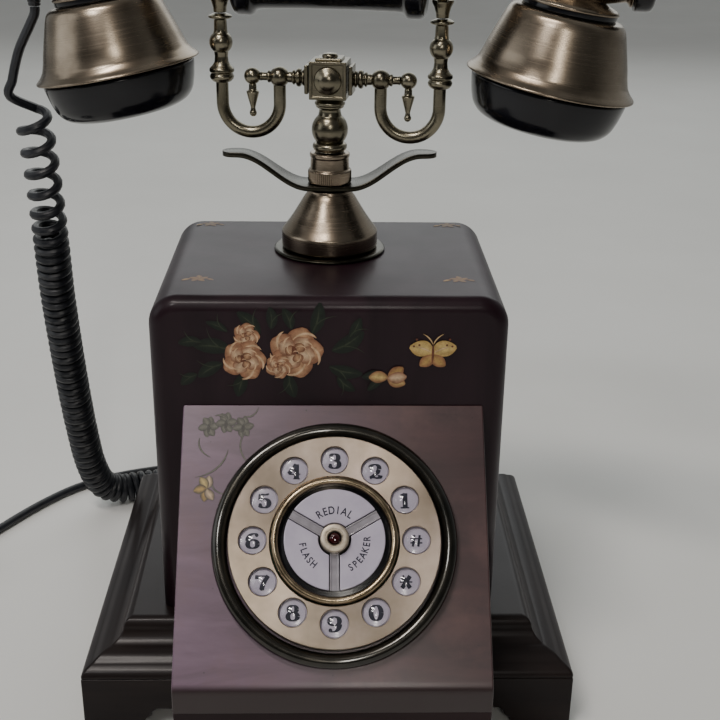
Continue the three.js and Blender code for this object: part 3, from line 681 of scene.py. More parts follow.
# Out of the plinth's back, down to the table, round to the left and out of sight.
LINE_ROUTE = [
    (12, 108, 12), (12, 113, 11.8), (10.4, 124, 7.4), (4, 137, 2.8), (-7, 147, LINE_REST),
    (-24, 153, LINE_REST), (-46, 155, LINE_REST), (-70, 152.4, LINE_REST), (-92.5, 146.4, LINE_REST),
    (-112, 139, LINE_REST), (-130, 127, LINE_REST), (-145, 109, LINE_REST), (-158, 88, LINE_REST),
    (-165.6, 74, LINE_REST), (-169.2, 60, LINE_REST), (-169.8, 46, LINE_REST),
]


def eased(t):
    t = min(max(t, 0.0), 1.0)
    return t * t * (3 - 2 * t)


def curly_path():
    """The wire's real line: the lead, then a helix round the route that opens at the top and closes below."""
    axis = smooth_path(CURLY_ROUTE, 0.5)
    frames = travelling_frames(axis)
    total = length_of(axis)
    coil_radius = (CURLY_WIDTH - CURLY_WIRE) / 2
    closed_pitch = CURLY_WIRE + 0.3
    left = Vector((-1, 0, 0))
    start_angle = math.atan2(left.dot(frames[0][2]), left.dot(frames[0][1]))
    turn_step = 2 * math.pi / 16
    helix = []
    travelled, phase = 0.0, 0.0
    for i, centre in enumerate(axis[:-1]):
        direction, side, other = frames[i]
        ahead = (axis[i + 1] - centre).length
        remaining = total - travelled
        opening = 5.3 * (1 - eased((travelled - 34) / 30))
        closing = 24 * (1 - eased((remaining - 12) / 26))
        pitch = closed_pitch + opening + closing
        radius = coil_radius * eased((remaining - 5) / 26)
        turned = 2 * math.pi * ahead / pitch
        steps = max(1, math.ceil(turned / turn_step))
        for k in range(steps):
            angle = start_angle + phase + turned * k / steps
            point = centre + direction * ahead * k / steps
            point = point + radius * (math.cos(angle) * side + math.sin(angle) * other)
            if not helix or (point - helix[-1]).length > 0.8:
                helix.append(point)
        phase += turned
        travelled += ahead
    # the lead runs into the helix along its tangent, a third of a turn in
    first, second = helix[5], helix[8]
    overlap = (first - second).length + 0.4
    lead = [p for p in smooth_path([*LEAD_ROUTE, first, second], 1.0) if (p - second).length > overlap]
    return [*lead, *helix[5:], Vector(CURLY_ROUTE[-1])]


COIL_CENTRE = (-200.8, 44)
COIL_ENTRY = 31.0
COIL_INNER = 16.9
COIL_OUTER = 28.2
COIL_LAYERS = 4
COIL_TURNS = 11


def coil_path():
    """A neat round coil of the line cord, wound in and out in layers; line_path adds its tail out to the plug."""
    points = []
    steps = COIL_TURNS * 28
    per_layer = steps // COIL_LAYERS
    for i in range(1, steps + 1):
        layer, within = divmod(i - 1, per_layer)
        share = (within + 1) / per_layer
        outer = COIL_ENTRY if layer == 0 else COIL_OUTER
        radius = outer + (COIL_INNER - outer) * (share if layer % 2 == 0 else 1 - share)
        climb = eased(share / 0.09) if layer else 1.0
        height = LINE_REST + LINE_CORD * (layer - 1 + climb if layer else 0)
        angle = -2 * math.pi * i / 28
        points.append(Vector((
            COIL_CENTRE[0] + radius * math.cos(angle), COIL_CENTRE[1] + radius * math.sin(angle), height,
        )))
    return points


def line_path():
    route = smooth_path(LINE_ROUTE, 6.0)
    coil = coil_path()
    x, y = COIL_CENTRE
    tail = smooth_path([
        coil[-1], (x + 28.0, y - 8, 13.6), (x + 27.2, y - 17, 10), (x + 25.2, y - 26, 6.2),
        (x + 21, y - 34.5, 3.6), (x + 16.4, y - 40, 3.3), (x + 12.4, y - 42, 3.3),
    ], 3.0)
    return [*route, *coil, *tail[1:]]


def handset_cord():
    """One curly wire from the handset to the plinth."""
    path = curly_path()
    cord = sweep("handset_cord_wire", path, CURLY_WIRE / 2, 10)
    cord.data.materials.append(CORD)
    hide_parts("handset_cord_lead", "handset_cord_curls")
    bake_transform(cord)


def line_cord(plug):
    path = line_path()
    cord = sweep("line_cord_wire", path, LINE_CORD / 2, 12)
    dress(cord, "line_cord", CORD)
    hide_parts("line_cord_coil")


def line_plug():
    """A modular plug: clear body, four brass contacts and its latch."""
    place = shifted(WORLD, COIL_CENTRE[0] + 6, COIL_CENTRE[1] - 42, 0) @ Matrix.Rotation(math.pi / 2, 4, "Z")
    body = brick("line_plug_body", (-3.8, -6, 0.1), (3.8, 6, 6.6), place)
    lengthwise = shifted(place, 0, -2, 3.3) @ Matrix.Rotation(math.pi / 2, 4, "X")
    carve(body, rod("line_plug_bore", 2.3, -1, 7, lengthwise))
    dress(bevel(body, 0.4), "line_plug", CLEAR)
    side_view = [(-9, 7.0), (-8, 7.4), (3, 6.9), (3, 6.2), (-8, 6.6), (-9, 6.6)]
    latch = prism("line_plug_latch", side_view, -1.6, 1.6, "x", place)
    dress(bevel(latch, 0.15), "line_plug", CLEAR, stands=False)
    contacts = []
    for i in range(4):
        x = (i - 1.5) * 1.1
        contact = brick(f"line_plug_contact_{i + 1}", (x - 0.2, 1.2, 4.6), (x + 0.2, 5.9, 6.75), place)
        contacts.append(dress(bevel(contact, 0.08, 2), "line_plug", BRIGHT_BRASS, stands=False))
    return [body, latch, *contacts]


def relief(name, radius):
    """A tapered, ribbed strain relief for a cord of this radius, standing out of the plinth's back."""
    low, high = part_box(name)
    root = Matrix.Translation((middle(name).x, low.y, middle(name).z))
    length = (high.y - low.y) / MM
    profile = [(0, 0), (radius + 2.2, 0), (radius + 2.2, 1.6), (radius + 1.4, 2.1)]
    for i in range(4):
        z = 2.6 + i * 1.55
        rib = radius + 1.3 - 0.8 * z / length
        groove = rib - 0.45
        profile += [(rib, z), (rib, z + 0.8), (groove, z + 0.95), (groove, z + 1.4)]
    profile += [(radius + 0.4, length), (0, length)]
    place = root @ Matrix.Rotation(-math.pi / 2, 4, "X")
    dress(lathe(name + "_ribbed", soften(profile, 0.2, steps=2), place, 40), name, CORD)


def top_relief():
    """A short ribbed collar under the handset's end."""
    node = "handset_cord_top_relief"
    low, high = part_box(node)
    height = (high.z - low.z) / MM
    place = Matrix.Translation((middle(node).x, middle(node).y, low.z))
    ribs = [(2.1, 0), (2.35, 0.8), (2.1, 1.1), (2.6, 1.8), (2.3, 2.1), (2.9, 2.6)]
    profile = [(0, 0), *ribs, (2.9, height), (0, height)]
    dress(lathe(node + "_ribbed", soften(profile, 0.25), place, 40), node, CORD)


handset_cord()
line_cord(line_plug())
relief("handset_cord_base_relief", CURLY_WIRE / 2)
relief("line_cord_relief", LINE_CORD / 2)
top_relief()


# ---------------------------------------------------------------- plinth
# moulding steps, outward and downward from the platform's edge
MOULDING_STEPS = [
    (0, 0), (2.4, 0.8), (3.6, 2.8), (3.8, 4.6), (5.2, 7), (7.4, 8.6), (8.8, 8.9),
    (11.6, 10), (14, 11.9), (15, 12.4), (17, 13.8), (17.9, 15.4), (17.9, 16.4),
]
MOULDING_OUT = MOULDING_STEPS[-1][0]
FOOT_WIDTH = 22
FRAME_WALL = 9
GAP = 0.3


def desk_notch(name):
    low = (DESK_LOW.x / MM - GAP, FRAME_LOW.y / MM - 2, -2)
    high = (DESK_HIGH.x / MM + GAP, CASE_LOW.y / MM - GAP, MOULDING_HIGH.z / MM + 2)
    return brick(name, low, high)


def corner_loop(half, front, back, height, radius):
    """A rectangle's loop with slightly eased corners."""
    corners = ((half, back, 0), (-half, back, 90), (-half, front, 180), (half, front, 270))
    loop = []
    for x, y, start in corners:
        inward_x = -math.copysign(radius, x)
        inward_y = radius if y == front else -radius
        for px, py in arc(x + inward_x, y + inward_y, radius, start, start + 90, 3):
            loop.append((px, py, height))
    return loop


def plinth_moulding():
    half = MOULDING_HIGH.x / MM - MOULDING_OUT
    front = MOULDING_LOW.y / MM + MOULDING_OUT
    back = MOULDING_HIGH.y / MM - MOULDING_OUT
    top = MOULDING_HIGH.z / MM
    # two coves and beads between the steps
    profile = soften(MOULDING_STEPS, 1.1, steps=5)
    loops = [
        corner_loop(half + out, front - out, back + out, top - drop, 0.5 + out * 0.03)
        for out, drop in profile
    ]
    made = loft("plinth_moulding_lacquered", loops, sharp=24)
    carve(made, desk_notch("notch"))
    dress(bevel(made, 0.25, 2, 50), "plinth_moulding", PLINTH_WOOD)


def arch_outline(half):
    """A bracket-foot arch: flat in the middle, a small quarter round and a fillet down each foot."""
    lower = [(half, -2), (half, 2.4), *arc(half - 3.2, 2.4, 3.2, 0, 60, 6)]
    right = [*lower, (half - 3.0, 6.2), *arc(half - 6, 6.2, 3, 0, 90, 6)]
    left = [(-x, y) for x, y in reversed(right)]
    return [*left, *right]


def plinth_frame():
    low, high = FRAME_LOW / MM, FRAME_HIGH / MM
    mid = (low.y + high.y) / 2
    depth = (high.y - low.y) / 2
    made = brick("plinth_frame_lacquered", low, high)
    wall = FRAME_WALL
    room = brick("room", (low.x + wall, low.y + wall, -2), (high.x - wall, high.y - wall, high.z + 2))
    side_arch = [(y + mid, z) for y, z in arch_outline(depth - FOOT_WIDTH)]
    side = prism("side", side_arch, low.x - 2, high.x + 2, "x")
    face = prism("face", arch_outline(high.x - FOOT_WIDTH), low.y - 2, high.y + 2, "y")
    carve(made, room, side, face, desk_notch("notch"))
    dress(bevel(made, 0.5, 3, 50), "plinth_frame", PLINTH_WOOD)


plinth_moulding()
plinth_frame()


# ---------------------------------------------------------------- case
CASE_CORNER = 10.5
CASE_ROUNDING = 5.0
BOARD = 8


def case_outline(inset):
    """The case's front outline, drawn in by inset; its two upper corners are round."""
    half = CASE_HIGH.x / MM - inset
    low, high = CASE_LOW.z / MM, CASE_HIGH.z / MM - inset
    radius = CASE_CORNER - inset
    right = arc(half - radius, high - radius, radius, 0, 90, 10)
    left = arc(radius - half, high - radius, radius, 90, 180, 10)
    return [(half, low), *right, *left, (-half, low)]


def case_shell():
    front, back = CASE_LOW.y / MM, CASE_HIGH.y / MM
    turn = [math.radians(90 * i / 8) for i in range(9)]
    rounded = [(CASE_ROUNDING * (1 - math.sin(a)), CASE_ROUNDING * (1 - math.cos(a))) for a in turn]
    sections = [(inset, front + depth) for inset, depth in rounded]
    sections += [(inset, back - depth) for inset, depth in reversed(rounded)]
    loops = [[(x, y, z) for x, z in case_outline(inset)] for inset, y in sections]
    made = loft("case_shell_lacquered", loops, sharp=40)
    half = CASE_HIGH.x / MM - BOARD
    room = brick("room", (-half, front + BOARD, 0), (half, back + 5, CASE_HIGH.z / MM - BOARD))
    bore = rod("bore", 4.1, -30, 30, COLUMN)
    carve(made, room, bore)
    made.modifiers.new("flat", "WEIGHTED_NORMAL").weight = 100
    apply(made)
    dress(made, "case_shell", CASE_WOOD)


def rear_panel():
    low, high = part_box("rear_panel")
    dress(bevel(brick("rear_panel_lacquered", low / MM, high / MM), 0.6), "rear_panel", CASE_WOOD)


def bottom_cover():
    low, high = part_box("bottom_cover")
    dress(bevel(brick("bottom_cover_plate", low / MM, high / MM), 0.3), "bottom_cover", STEEL)


case_shell()
rear_panel()
bottom_cover()


# ---------------------------------------------------------------- sloping desk
LEAN = math.atan2(DIAL.to_3x3().col[2].z, -DIAL.to_3x3().col[2].y)
PANEL_THICKNESS = 6
DESK_WALL = 6


def slope_height(y, depth):
    """Height of the line parallel to the panel's face, a depth under it."""
    face = PANEL_HIGH.z / MM + (y - PANEL_HIGH.y / MM) / math.tan(LEAN)
    return face - depth / math.sin(LEAN)


def dial_panel():
    front, back = PANEL_LOW.y / MM, PANEL_HIGH.y / MM
    nose = [
        (front + 2.0, slope_height(front + 2.0, 0)), (front + 0.55, slope_height(front, 0) + 0.15),
        (front, slope_height(front, 0) - 1.9),
    ]
    outline = [
        (back, slope_height(back, 0)), *soften(nose, 1.0, steps=6),
        (front, slope_height(front, PANEL_THICKNESS)), (back, slope_height(back, PANEL_THICKNESS)),
    ]
    made = prism("dial_panel_varnished", outline, PANEL_LOW.x / MM, PANEL_HIGH.x / MM, "x")
    carve(made, rod("hole", 34, -30, 30, DIAL, 96))
    dress(bevel(made, 0.55, 3, 30), "dial_panel", PANEL_WOOD)


def desk_box():
    low, high = DESK_LOW / MM, DESK_HIGH / MM
    rim = lambda y: slope_height(y, PANEL_THICKNESS) - GAP
    outline = [(low.y, low.z), (high.y, low.z), (high.y, rim(high.y)), (low.y, rim(low.y))]
    made = prism("desk_box_lacquered", outline, low.x, high.x, "x")
    wall = DESK_WALL
    room = brick("room", (low.x + wall, low.y + wall, wall), (high.x - wall, high.y + 2, high.z + 20))
    carve(made, room)
    dress(bevel(made, 0.5, 3, 40), "desk_box", DESK_WOOD)


dial_panel()
desk_box()


# ---------------------------------------------------------------- numerals
PEN_THICK = 0.155
PEN_THIN = 0.042
BALL = 0.115
GLYPH_WIDTH = 1.3
BASE = -0.46
CAP = 0.46


def glyph_strokes(name):
    """Pen strokes and ball ends of a bold serif figure, one unit tall before it is widened."""
    half_turn = [
        (arc(0.06, 0.0, 0.30, 62, 180, 14, 1.5), []),
        (arc(0, -0.19, 0.235, 0, 360, 28, 1.1), []),
        ([], [(0.19, 0.36)]),
    ]
    if name == "0":
        return [(arc(0, 0, 0.24, 0, 360, 32, 1.85), [])]
    if name == "1":
        return [
            ([(0.02, CAP), (0.02, BASE)], []), ([(0.0, CAP - 0.03), (-0.20, 0.30)], []),
            ([(-0.2, BASE), (0.22, BASE)], []),
        ]
    if name == "2":
        tail = [(0.20, 0.12), (0.12, -0.08), (-0.06, -0.26), (-0.24, -0.42)]
        return [
            (arc(0, 0.22, 0.21, 175, -15, 16, 1.1), [(-0.17, 0.22)]), (tail, []),
            ([(-0.24, -0.42), (-0.1, -0.36), (0.1, -0.43), (0.24, -0.38), (0.26, -0.24)], []),
            ([(-0.22, -0.40), (0.16, -0.40)], []),
        ]
    if name == "3":
        return [
            (arc(-0.02, 0.22, 0.19, 160, -85, 18, 1.2), [(-0.18, 0.29)]),
            (arc(-0.02, -0.21, 0.235, 85, -160, 20, 1.1), [(-0.21, -0.28)]),
            ([(-0.06, 0.01), (0.04, 0.01)], []),
        ]
    if name == "4":
        return [
            ([(0.10, CAP), (0.10, BASE)], []), ([(0.08, CAP), (-0.28, -0.16)], []),
            ([(-0.28, -0.18), (0.29, -0.18)], []), ([(-0.06, BASE), (0.26, BASE)], []),
        ]
    if name == "5":
        return [
            ([(-0.16, 0.40), (0.04, 0.37), (0.22, 0.42)], []), ([(-0.16, 0.40), (-0.18, 0.02)], []),
            (arc(-0.01, -0.17, 0.235, 140, -155, 22, 1.2), [(-0.20, -0.28)]),
            ([(-0.12, 0.36), (0.18, 0.36)], []),
        ]
    if name == "6":
        return half_turn
    if name == "7":
        return [
            ([(-0.25, 0.38), (0.25, 0.38)], []), ([(-0.25, 0.42), (-0.25, 0.20)], []),
            ([(0.25, 0.40), (0.10, 0.10), (0.0, -0.16), (-0.05, BASE)], [(-0.05, -0.40)]),
        ]
    if name == "8":
        return [(arc(0, 0.23, 0.175, 0, 360, 24, 1.2), []), (arc(0, -0.21, 0.225, 0, 360, 28, 1.1), [])]
    if name == "9":
        return [([(-x, -y) for x, y in line], [(-x, -y) for x, y in balls]) for line, balls in half_turn]
    if name == "hash":
        bars = [([(x + 0.04, 0.36), (x - 0.04, -0.36)], []) for x in (-0.13, 0.13)]
        return [*bars, *[([(-0.29, y), (0.29, y)], []) for y in (0.13, -0.13)]]
    # the star: two long diagonals and a short bar
    bars = ((0.42, 62), (0.42, 118), (0.30, 0))
    return [(arc(0, 0, reach, degrees, degrees + 180, 1), []) for reach, degrees in bars]


def pen_mesh(strokes, size, height, place, name, thick=PEN_THICK):
    """Flat shapes of a broad pen that is thick across and thin along, laid at a height in the frame."""
    points, faces = [], []
    layer = 0.0

    def add(outline_points):
        start = len(points)
        points.extend([(x * size, y * size, height + layer) for x, y in outline_points])
        return start

    for line, balls in strokes:
        layer += 0.004
        path = [Vector((x * GLYPH_WIDTH, y)) for x, y in line]
        dense = []
        for a, b in zip(path, path[1:]):
            count = max(1, math.ceil((b - a).length / 0.06))
            dense += [a + (b - a) * i / count for i in range(count)]
        dense += path[-1:]
        rows = []
        for i, spot in enumerate(dense):
            along = (dense[min(i + 1, len(dense) - 1)] - dense[max(i - 1, 0)]).normalized()
            normal = Vector((-along.y, along.x))
            half = math.hypot(thick * normal.x, PEN_THIN * normal.y)
            rows.append([spot + normal * half, spot - normal * half])
        start = add([p for row in rows for p in row])
        for i in range(len(rows) - 1):
            a = start + 2 * i
            faces.append((a, a + 1, a + 3, a + 2))
        for x, y in balls:
            layer += 0.002
            start = add(arc(x * GLYPH_WIDTH, y, BALL, 0, 360 - 20, 17))
            faces.append(tuple(range(start, start + 18)))
    mesh = bpy.data.meshes.new(name)
    mesh.from_pydata([[c * MM for c in p] for p in points], [], faces)
    mesh.shade_smooth()
    made = bpy.data.objects.new(name, mesh)
    made.matrix_world = place
    bpy.context.scene.collection.objects.link(made)
    thickness = made.modifiers.new("film", "SOLIDIFY")
    thickness.thickness = 0.03 * MM
    thickness.offset = 1
    apply(made)
    shade(made.data)
    return made


# ---------------------------------------------------------------- dial
PLATE_LOW = 5.7
PLATE_HIGH = 7.1
PLATE_INNER = 21.7
PLATE_OUTER = 35.8
RING_MIDDLE = 20.1
RING_RADIUS = 1.25
SPIDER_TOP = 5.2
FUNCTION_LOW = 6.6
FUNCTION_TOP = 9.2
FUNCTION_OUTER = 16.95
SPOKE_GAP = 3.6
HUB_TOP = 12.0
KEY_TOP = 5.6
SPOKE_ANGLES = (60, 180, 300)


def key_place(i):
    angle = i * math.pi / 6
    return shifted(DIAL, KEY_CIRCLE * math.sin(angle), KEY_CIRCLE * math.cos(angle), 0)


def dial_bezel():
    profile = [
        (36.5, 0.3), (41.7, 0.3), (41.7, 2.0), *arc(39.1, 2.4, 2.6, 0, 150, 22), (36.7, 3.0), (36.5, 2.2),
    ]
    dress(lathe("dial_bezel_ring", profile, DIAL, 160, closed=True), "dial_bezel", DARK_BRASS)


def plate_boundary(inner, outer, half_angle=15.0, steps=10):
    """Outline of one key's share of the plate, for a key at the top of the dial."""
    start, stop = 90 - half_angle, 90 + half_angle
    rising = [inner + (outer - inner) * i / steps for i in range(1, steps)]
    right = [arc(0, 0, radius, start, stop, 1)[0] for radius in rising]
    left = [arc(0, 0, radius, start, stop, 1)[1] for radius in reversed(rising)]
    return [*arc(0, 0, inner, stop, start, steps), *right, *arc(0, 0, outer, start, stop, steps), *left]


def hole_rim(boundary, radius):
    """The point of the key's round hole that faces each point of the boundary."""
    rim = []
    for x, y in boundary:
        away = Vector((x, y - KEY_CIRCLE)).normalized() * radius
        rim.append((away.x, KEY_CIRCLE + away.y))
    return rim


def dial_plate():
    """Twelve equal shares, each from its outline down through a chamfered key hole, and the two rims."""
    ease = 0.3
    skirt = PLATE_OUTER - 1
    upper = plate_boundary(PLATE_INNER + ease, PLATE_OUTER - ease)
    lower = plate_boundary(PLATE_INNER, skirt)
    share = [
        (upper, PLATE_HIGH), (hole_rim(upper, KEY_HOLE + ease), PLATE_HIGH),
        (hole_rim(upper, KEY_HOLE + 0.1), PLATE_HIGH - 0.1), (hole_rim(upper, KEY_HOLE), PLATE_HIGH - ease),
        (hole_rim(upper, KEY_HOLE), PLATE_LOW), (lower, PLATE_LOW),
    ]
    points, faces = [], []

    def skin(loops, closed):
        start, count = len(points), len(loops[0])
        points.extend(p for loop in loops for p in loop)
        for row in range(len(loops) - 1):
            low, high = start + row * count, start + (row + 1) * count
            for i in range(count if closed else count - 1):
                j = (i + 1) % count
                faces.append((low + i, low + j, high + j, high + i))

    for key in range(len(KEY_NAMES)):
        turn = Matrix.Rotation(key * math.pi / 6, 2)
        skin([[(*(turn @ Vector(p)), height) for p in loop] for loop, height in share], True)
    rims = (
        [(PLATE_OUTER - ease, PLATE_HIGH), (PLATE_OUTER - 0.1, PLATE_HIGH - 0.1),
         (PLATE_OUTER, PLATE_HIGH - ease), (PLATE_OUTER, GAP), (skirt, GAP), (skirt, PLATE_LOW)],
        [(PLATE_INNER + ease, PLATE_HIGH), (PLATE_INNER + 0.1, PLATE_HIGH - 0.1),
         (PLATE_INNER, PLATE_HIGH - ease), (PLATE_INNER, PLATE_LOW)],
    )
    for rim in rims:
        skin([[(x, y, height) for x, y in arc(0, 0, radius, -15, 345, 120)] for radius, height in rim], False)
    dress(solid("dial_plate_pierced", points, faces, DIAL, 18), "dial_plate", SATIN_BRASS)


def inner_ring():
    """Half-round brass bead on a short skirt."""
    inner, outer = RING_MIDDLE - RING_RADIUS, RING_MIDDLE + RING_RADIUS
    profile = [(inner, 5.5), (outer, 5.5), *arc(RING_MIDDLE, 8.2, RING_RADIUS, 0, 180, 18)]
    made = lathe("dial_inner_ring_bead", profile, DIAL, 140, closed=True)
    dress(made, "dial_inner_ring", BRIGHT_BRASS)


def function_spider():
    """Black base, three raised spokes and the brass hub round the lamp."""
    edge = RING_MIDDLE + RING_RADIUS
    base = soften([(0, 4.0), (edge, 4.0), (edge, SPIDER_TOP), (0, SPIDER_TOP)], 0.2)
    dress(lathe("function_spider_base", base, DIAL, 120), "function_spider", BLACK)
    hub = [
        (2.35, 7.6), (3, 4.5), (HUB_RADIUS, 4.5), (HUB_RADIUS, HUB_TOP - 0.5),
        (HUB_RADIUS - 0.3, HUB_TOP - 0.1), (4.2, HUB_TOP), (3.2, HUB_TOP - 0.05), (3.05, HUB_TOP - 0.3),
        (2.75, HUB_TOP - 0.3), (2.6, HUB_TOP - 0.05), (2.35, HUB_TOP - 0.3),
    ]
    turned_hub = lathe("function_spider_hub", hub, DIAL, 80, closed=True)
    dress(turned_hub, "function_spider", HUB_BRASS, stands=False)
    stem = rod("function_spider_stem", 3, -2.3, 8, DIAL, 40)
    dress(stem, "function_spider", BLACK, stands=False)
    top = FUNCTION_TOP - 0.45
    outline = [
        (-1.5, SPIDER_TOP - 0.2), (1.5, SPIDER_TOP - 0.2), (1.5, top), (1.1, top), (0.85, top - 0.35),
        (-0.85, top - 0.35), (-1.1, top), (-1.5, top),
    ]
    for degrees in SPOKE_ANGLES:
        place = DIAL @ Matrix.Rotation(-math.radians(degrees), 4, "Z")
        bar = prism(f"function_spider_spoke_{degrees}", outline, HUB_RADIUS - 0.2, FUNCTION_OUTER, "y", place)
        dress(bevel(bar, 0.12, 2), "function_spider", SPOKE, stands=False)


def jewel_lamp():
    top = HUB_TOP - 0.4
    profile = [(0, 7.9), (2.05, 7.9), (2.05, top - 1.1), (1.75, top - 0.5), (0.9, top - 0.1), (0, top)]
    dress(lathe("jewel_lamp_facet", soften(profile, 0.15), DIAL, 12, sharp=20), "jewel_lamp", RUBY)


def dial_key(i, name):
    """A lilac disc with its figure under a clear domed cap."""
    place = key_place(i)
    node = f"key_{name}"
    rim = [(5.2, 4.2), (5.2, 5.0), (4.25, 5.0), (4.25, KEY_TOP - 0.1)]
    stem = soften([(0, -1), (1.8, -1), (1.8, 4.2), *rim, (0, KEY_TOP)], 0.12)
    dress(lathe(node + "_disc", stem, place, 64), node, KEY)
    thick = 0.07 if name == "hash" else PEN_THICK
    figure = pen_mesh(glyph_strokes(name), 5.4, KEY_TOP + 0.04, place, node + "_figure", thick)
    dress(figure, node, INK, stands=False)
    crown = [(4.28, KEY_TOP - 0.1), (4.28, 6.2), *arc(0, 1.0, 6.6, 54, 90, 12)]
    crown[-1] = (0, 7.6)
    inside = [*arc(0, 1.0, 6.2, 90, 55, 12), (4.0, KEY_TOP - 0.1)]
    inside[0] = (0, 7.2)
    dress(lathe(node + "_cap", crown + inside, place, 64), node, CLEAR, stands=False)


def sector_outline(inner, outer, gap):
    inset_outer = math.degrees(math.asin(gap / 2 / outer))
    inset_inner = math.degrees(math.asin(gap / 2 / inner))
    return [
        *arc(0, 0, outer, 30 + inset_outer, 150 - inset_outer, 30),
        *arc(0, 0, inner, 150 - inset_inner, 30 + inset_inner, 10),
    ]


def letters(word, degrees, radius, size, inward, node):
    """A word bent round the dial's middle; inward turns the letters' heads to the hub."""
    step = size * 0.80 / radius
    direction = -1 if inward else 1
    for i, letter in enumerate(word):
        curve = bpy.data.curves.new(f"{node}_text_{i}", "FONT")
        curve.body = letter
        curve.size = size * MM * 1.38
        curve.align_x = "CENTER"
        curve.align_y = "CENTER"
        curve.offset = 0.06 * MM
        curve.extrude = 0.02 * MM
        text = bpy.data.objects.new(f"{node}_text_{i}", curve)
        bpy.context.scene.collection.objects.link(text)
        angle = math.radians(degrees) + direction * (i - (len(word) - 1) / 2) * step
        turn = -angle + (math.pi if inward else 0)
        spot = shifted(DIAL, radius * math.sin(angle), radius * math.cos(angle), FUNCTION_TOP + 0.03)
        narrowed = spot @ Matrix.Rotation(turn, 4, "Z") @ Matrix.Scale(0.82, 4, (1, 0, 0))
        depsgraph = bpy.context.evaluated_depsgraph_get()
        mesh = bpy.data.meshes.new_from_object(text.evaluated_get(depsgraph))
        bpy.data.objects.remove(text)
        printed = bpy.data.objects.new(f"{node}_letter_{i + 1}", mesh)
        printed.matrix_world = narrowed
        bpy.context.scene.collection.objects.link(printed)
        dress(printed, node, INK, stands=False)


def function_key(word, degrees, radius, size, inward):
    node = "key_" + word.lower()
    place = DIAL @ Matrix.Rotation(-math.radians(degrees), 4, "Z")
    outline = sector_outline(HUB_RADIUS + 0.7, FUNCTION_OUTER, SPOKE_GAP)
    made = prism(node + "_sector", outline, FUNCTION_LOW, FUNCTION_TOP, "z", place)
    dress(bevel(made, 0.35, 4, 40), node, KEY)
    letters(word, degrees, radius, size, inward, node)


dial_bezel()
dial_plate()
inner_ring()
function_spider()
jewel_lamp()
for number, key_name in enumerate(KEY_NAMES):
    dial_key(number, key_name)
function_key("REDIAL", 0, 9.6, 2.7, False)
function_key("SPEAKER", 120, 10.9, 2.4, True)
function_key("FLASH", 240, 10.9, 2.4, True)


# ---------------------------------------------------------------- column
BORE = 4.1


def turned_piece(node, profile, place, finish=BRASS, segments=96, closed=False, radius=0.35, **more):
    made = lathe(node + "_turned", soften(profile, radius, closed), place, segments, closed, **more)
    return dress(made, node, finish)


WING_LOW = 24.2
WING_RISE = 11.8
WING_FLAT = 8
WING_SWEEP = 26
WING_THICKNESS = 1.9
WING_TIP = 40
WING_TIP_RADIUS = 4.4
WING_WAIST = 8.6


def wing_height(x):
    """The plate's lower side: flat in the middle, then an S-curve up to each tip."""
    along = min(max((abs(x) - WING_FLAT) / WING_SWEEP, 0), 1)
    return WING_LOW + WING_RISE * 0.5 * (1 - math.cos(math.pi * along))


def wing_width(x):
    """Half width of the plate: it narrows to a round tip."""
    reach = WING_TIP - WING_TIP_RADIUS
    if abs(x) > reach:
        return math.sqrt(max(WING_TIP_RADIUS ** 2 - (abs(x) - reach) ** 2, 0.04))
    return WING_WAIST + (WING_TIP_RADIUS - WING_WAIST) * abs(x) / reach


def wing_plate():
    count = 80
    thick = WING_THICKNESS / 2
    loops = []
    for i in range(count + 1):
        x = -WING_TIP * math.cos(math.pi * i / count)
        slope = (wing_height(x + 0.05) - wing_height(x - 0.05)) / 0.1
        tilt = math.atan(slope)
        half = wing_width(x)
        corners = [(-half, -thick), (half, -thick), (half, thick), (-half, thick)]
        section = soften(corners, min(0.6, half * 0.5), closed=True, steps=3)
        centre = wing_height(x) + thick
        loops.append([(x - z * math.sin(tilt), y, centre + z * math.cos(tilt)) for y, z in section])
    made = loft("wing_plate_bent", loops, COLUMN, sharp=45)
    carve(made, rod("bore", BORE, 0, 60, COLUMN))
    dress(made, "wing_plate", OLIVE_BRASS)


def column():
    flange = [(BORE, 0.3), (21.2, 0.3), (21.2, 0.9), (20.4, 1.4), (BORE, 1.4)]
    turned_piece("column_flange", flange, COLUMN, OLIVE_BRASS, closed=True, radius=0.25)
    # band, crisp shoulder, then a cone that sweeps in towards the neck
    flare = [(17.7, 8.4), (16.0, 10.6), (13.6, 14.1), (11.5, 17.6), (9.6, 20.8), (8.2, 22.6), (7.9, 23.9)]
    bell = [(BORE, 1.7), (18.2, 1.7), (18.2, 7.6), (17.9, 8.1), *flare, (BORE, 23.9)]
    turned_piece("column_bell", bell, COLUMN, closed=True, radius=0.9, segments=140)
    wing_plate()
    collar = [
        (BORE, 26.5), (8.1, 26.5), (8.15, 26.9), (8.15, 30.7), (7.9, 31.1), (7.3, 31.6), (7.15, 35.6),
        (7.5, 36.2), (7.5, 37.2), (6.9, 37.7), (BORE, 37.7),
    ]
    knurling = (60, 0.32, 26.8, 30.9)
    turned_piece("knurled_collar", collar, COLUMN, closed=True, radius=0.2, segments=480, ripple=knurling)


column()


# ---------------------------------------------------------------- cradle
BLOCK_HALF = 6.8


def cradle_post():
    profile = [
        (0, -24), (3.8, -24), (3.8, 37.9), (5.6, 38.1), *arc(4.9, 39.8, 1.55, -70, 75, 8), (4.6, 41.6),
        *arc(0, 46.0, 6.75, -41, 50, 18), (4.0, 52.6), (4.0, 53.6), (5.2, 54.4),
        *arc(4.7, 55.7, 0.95, -60, 60, 6), (4.4, 57.4), (0, 57.4),
    ]
    turned_piece("cradle_post", profile, CRADLE, CRADLE_BRASS, radius=0.3)


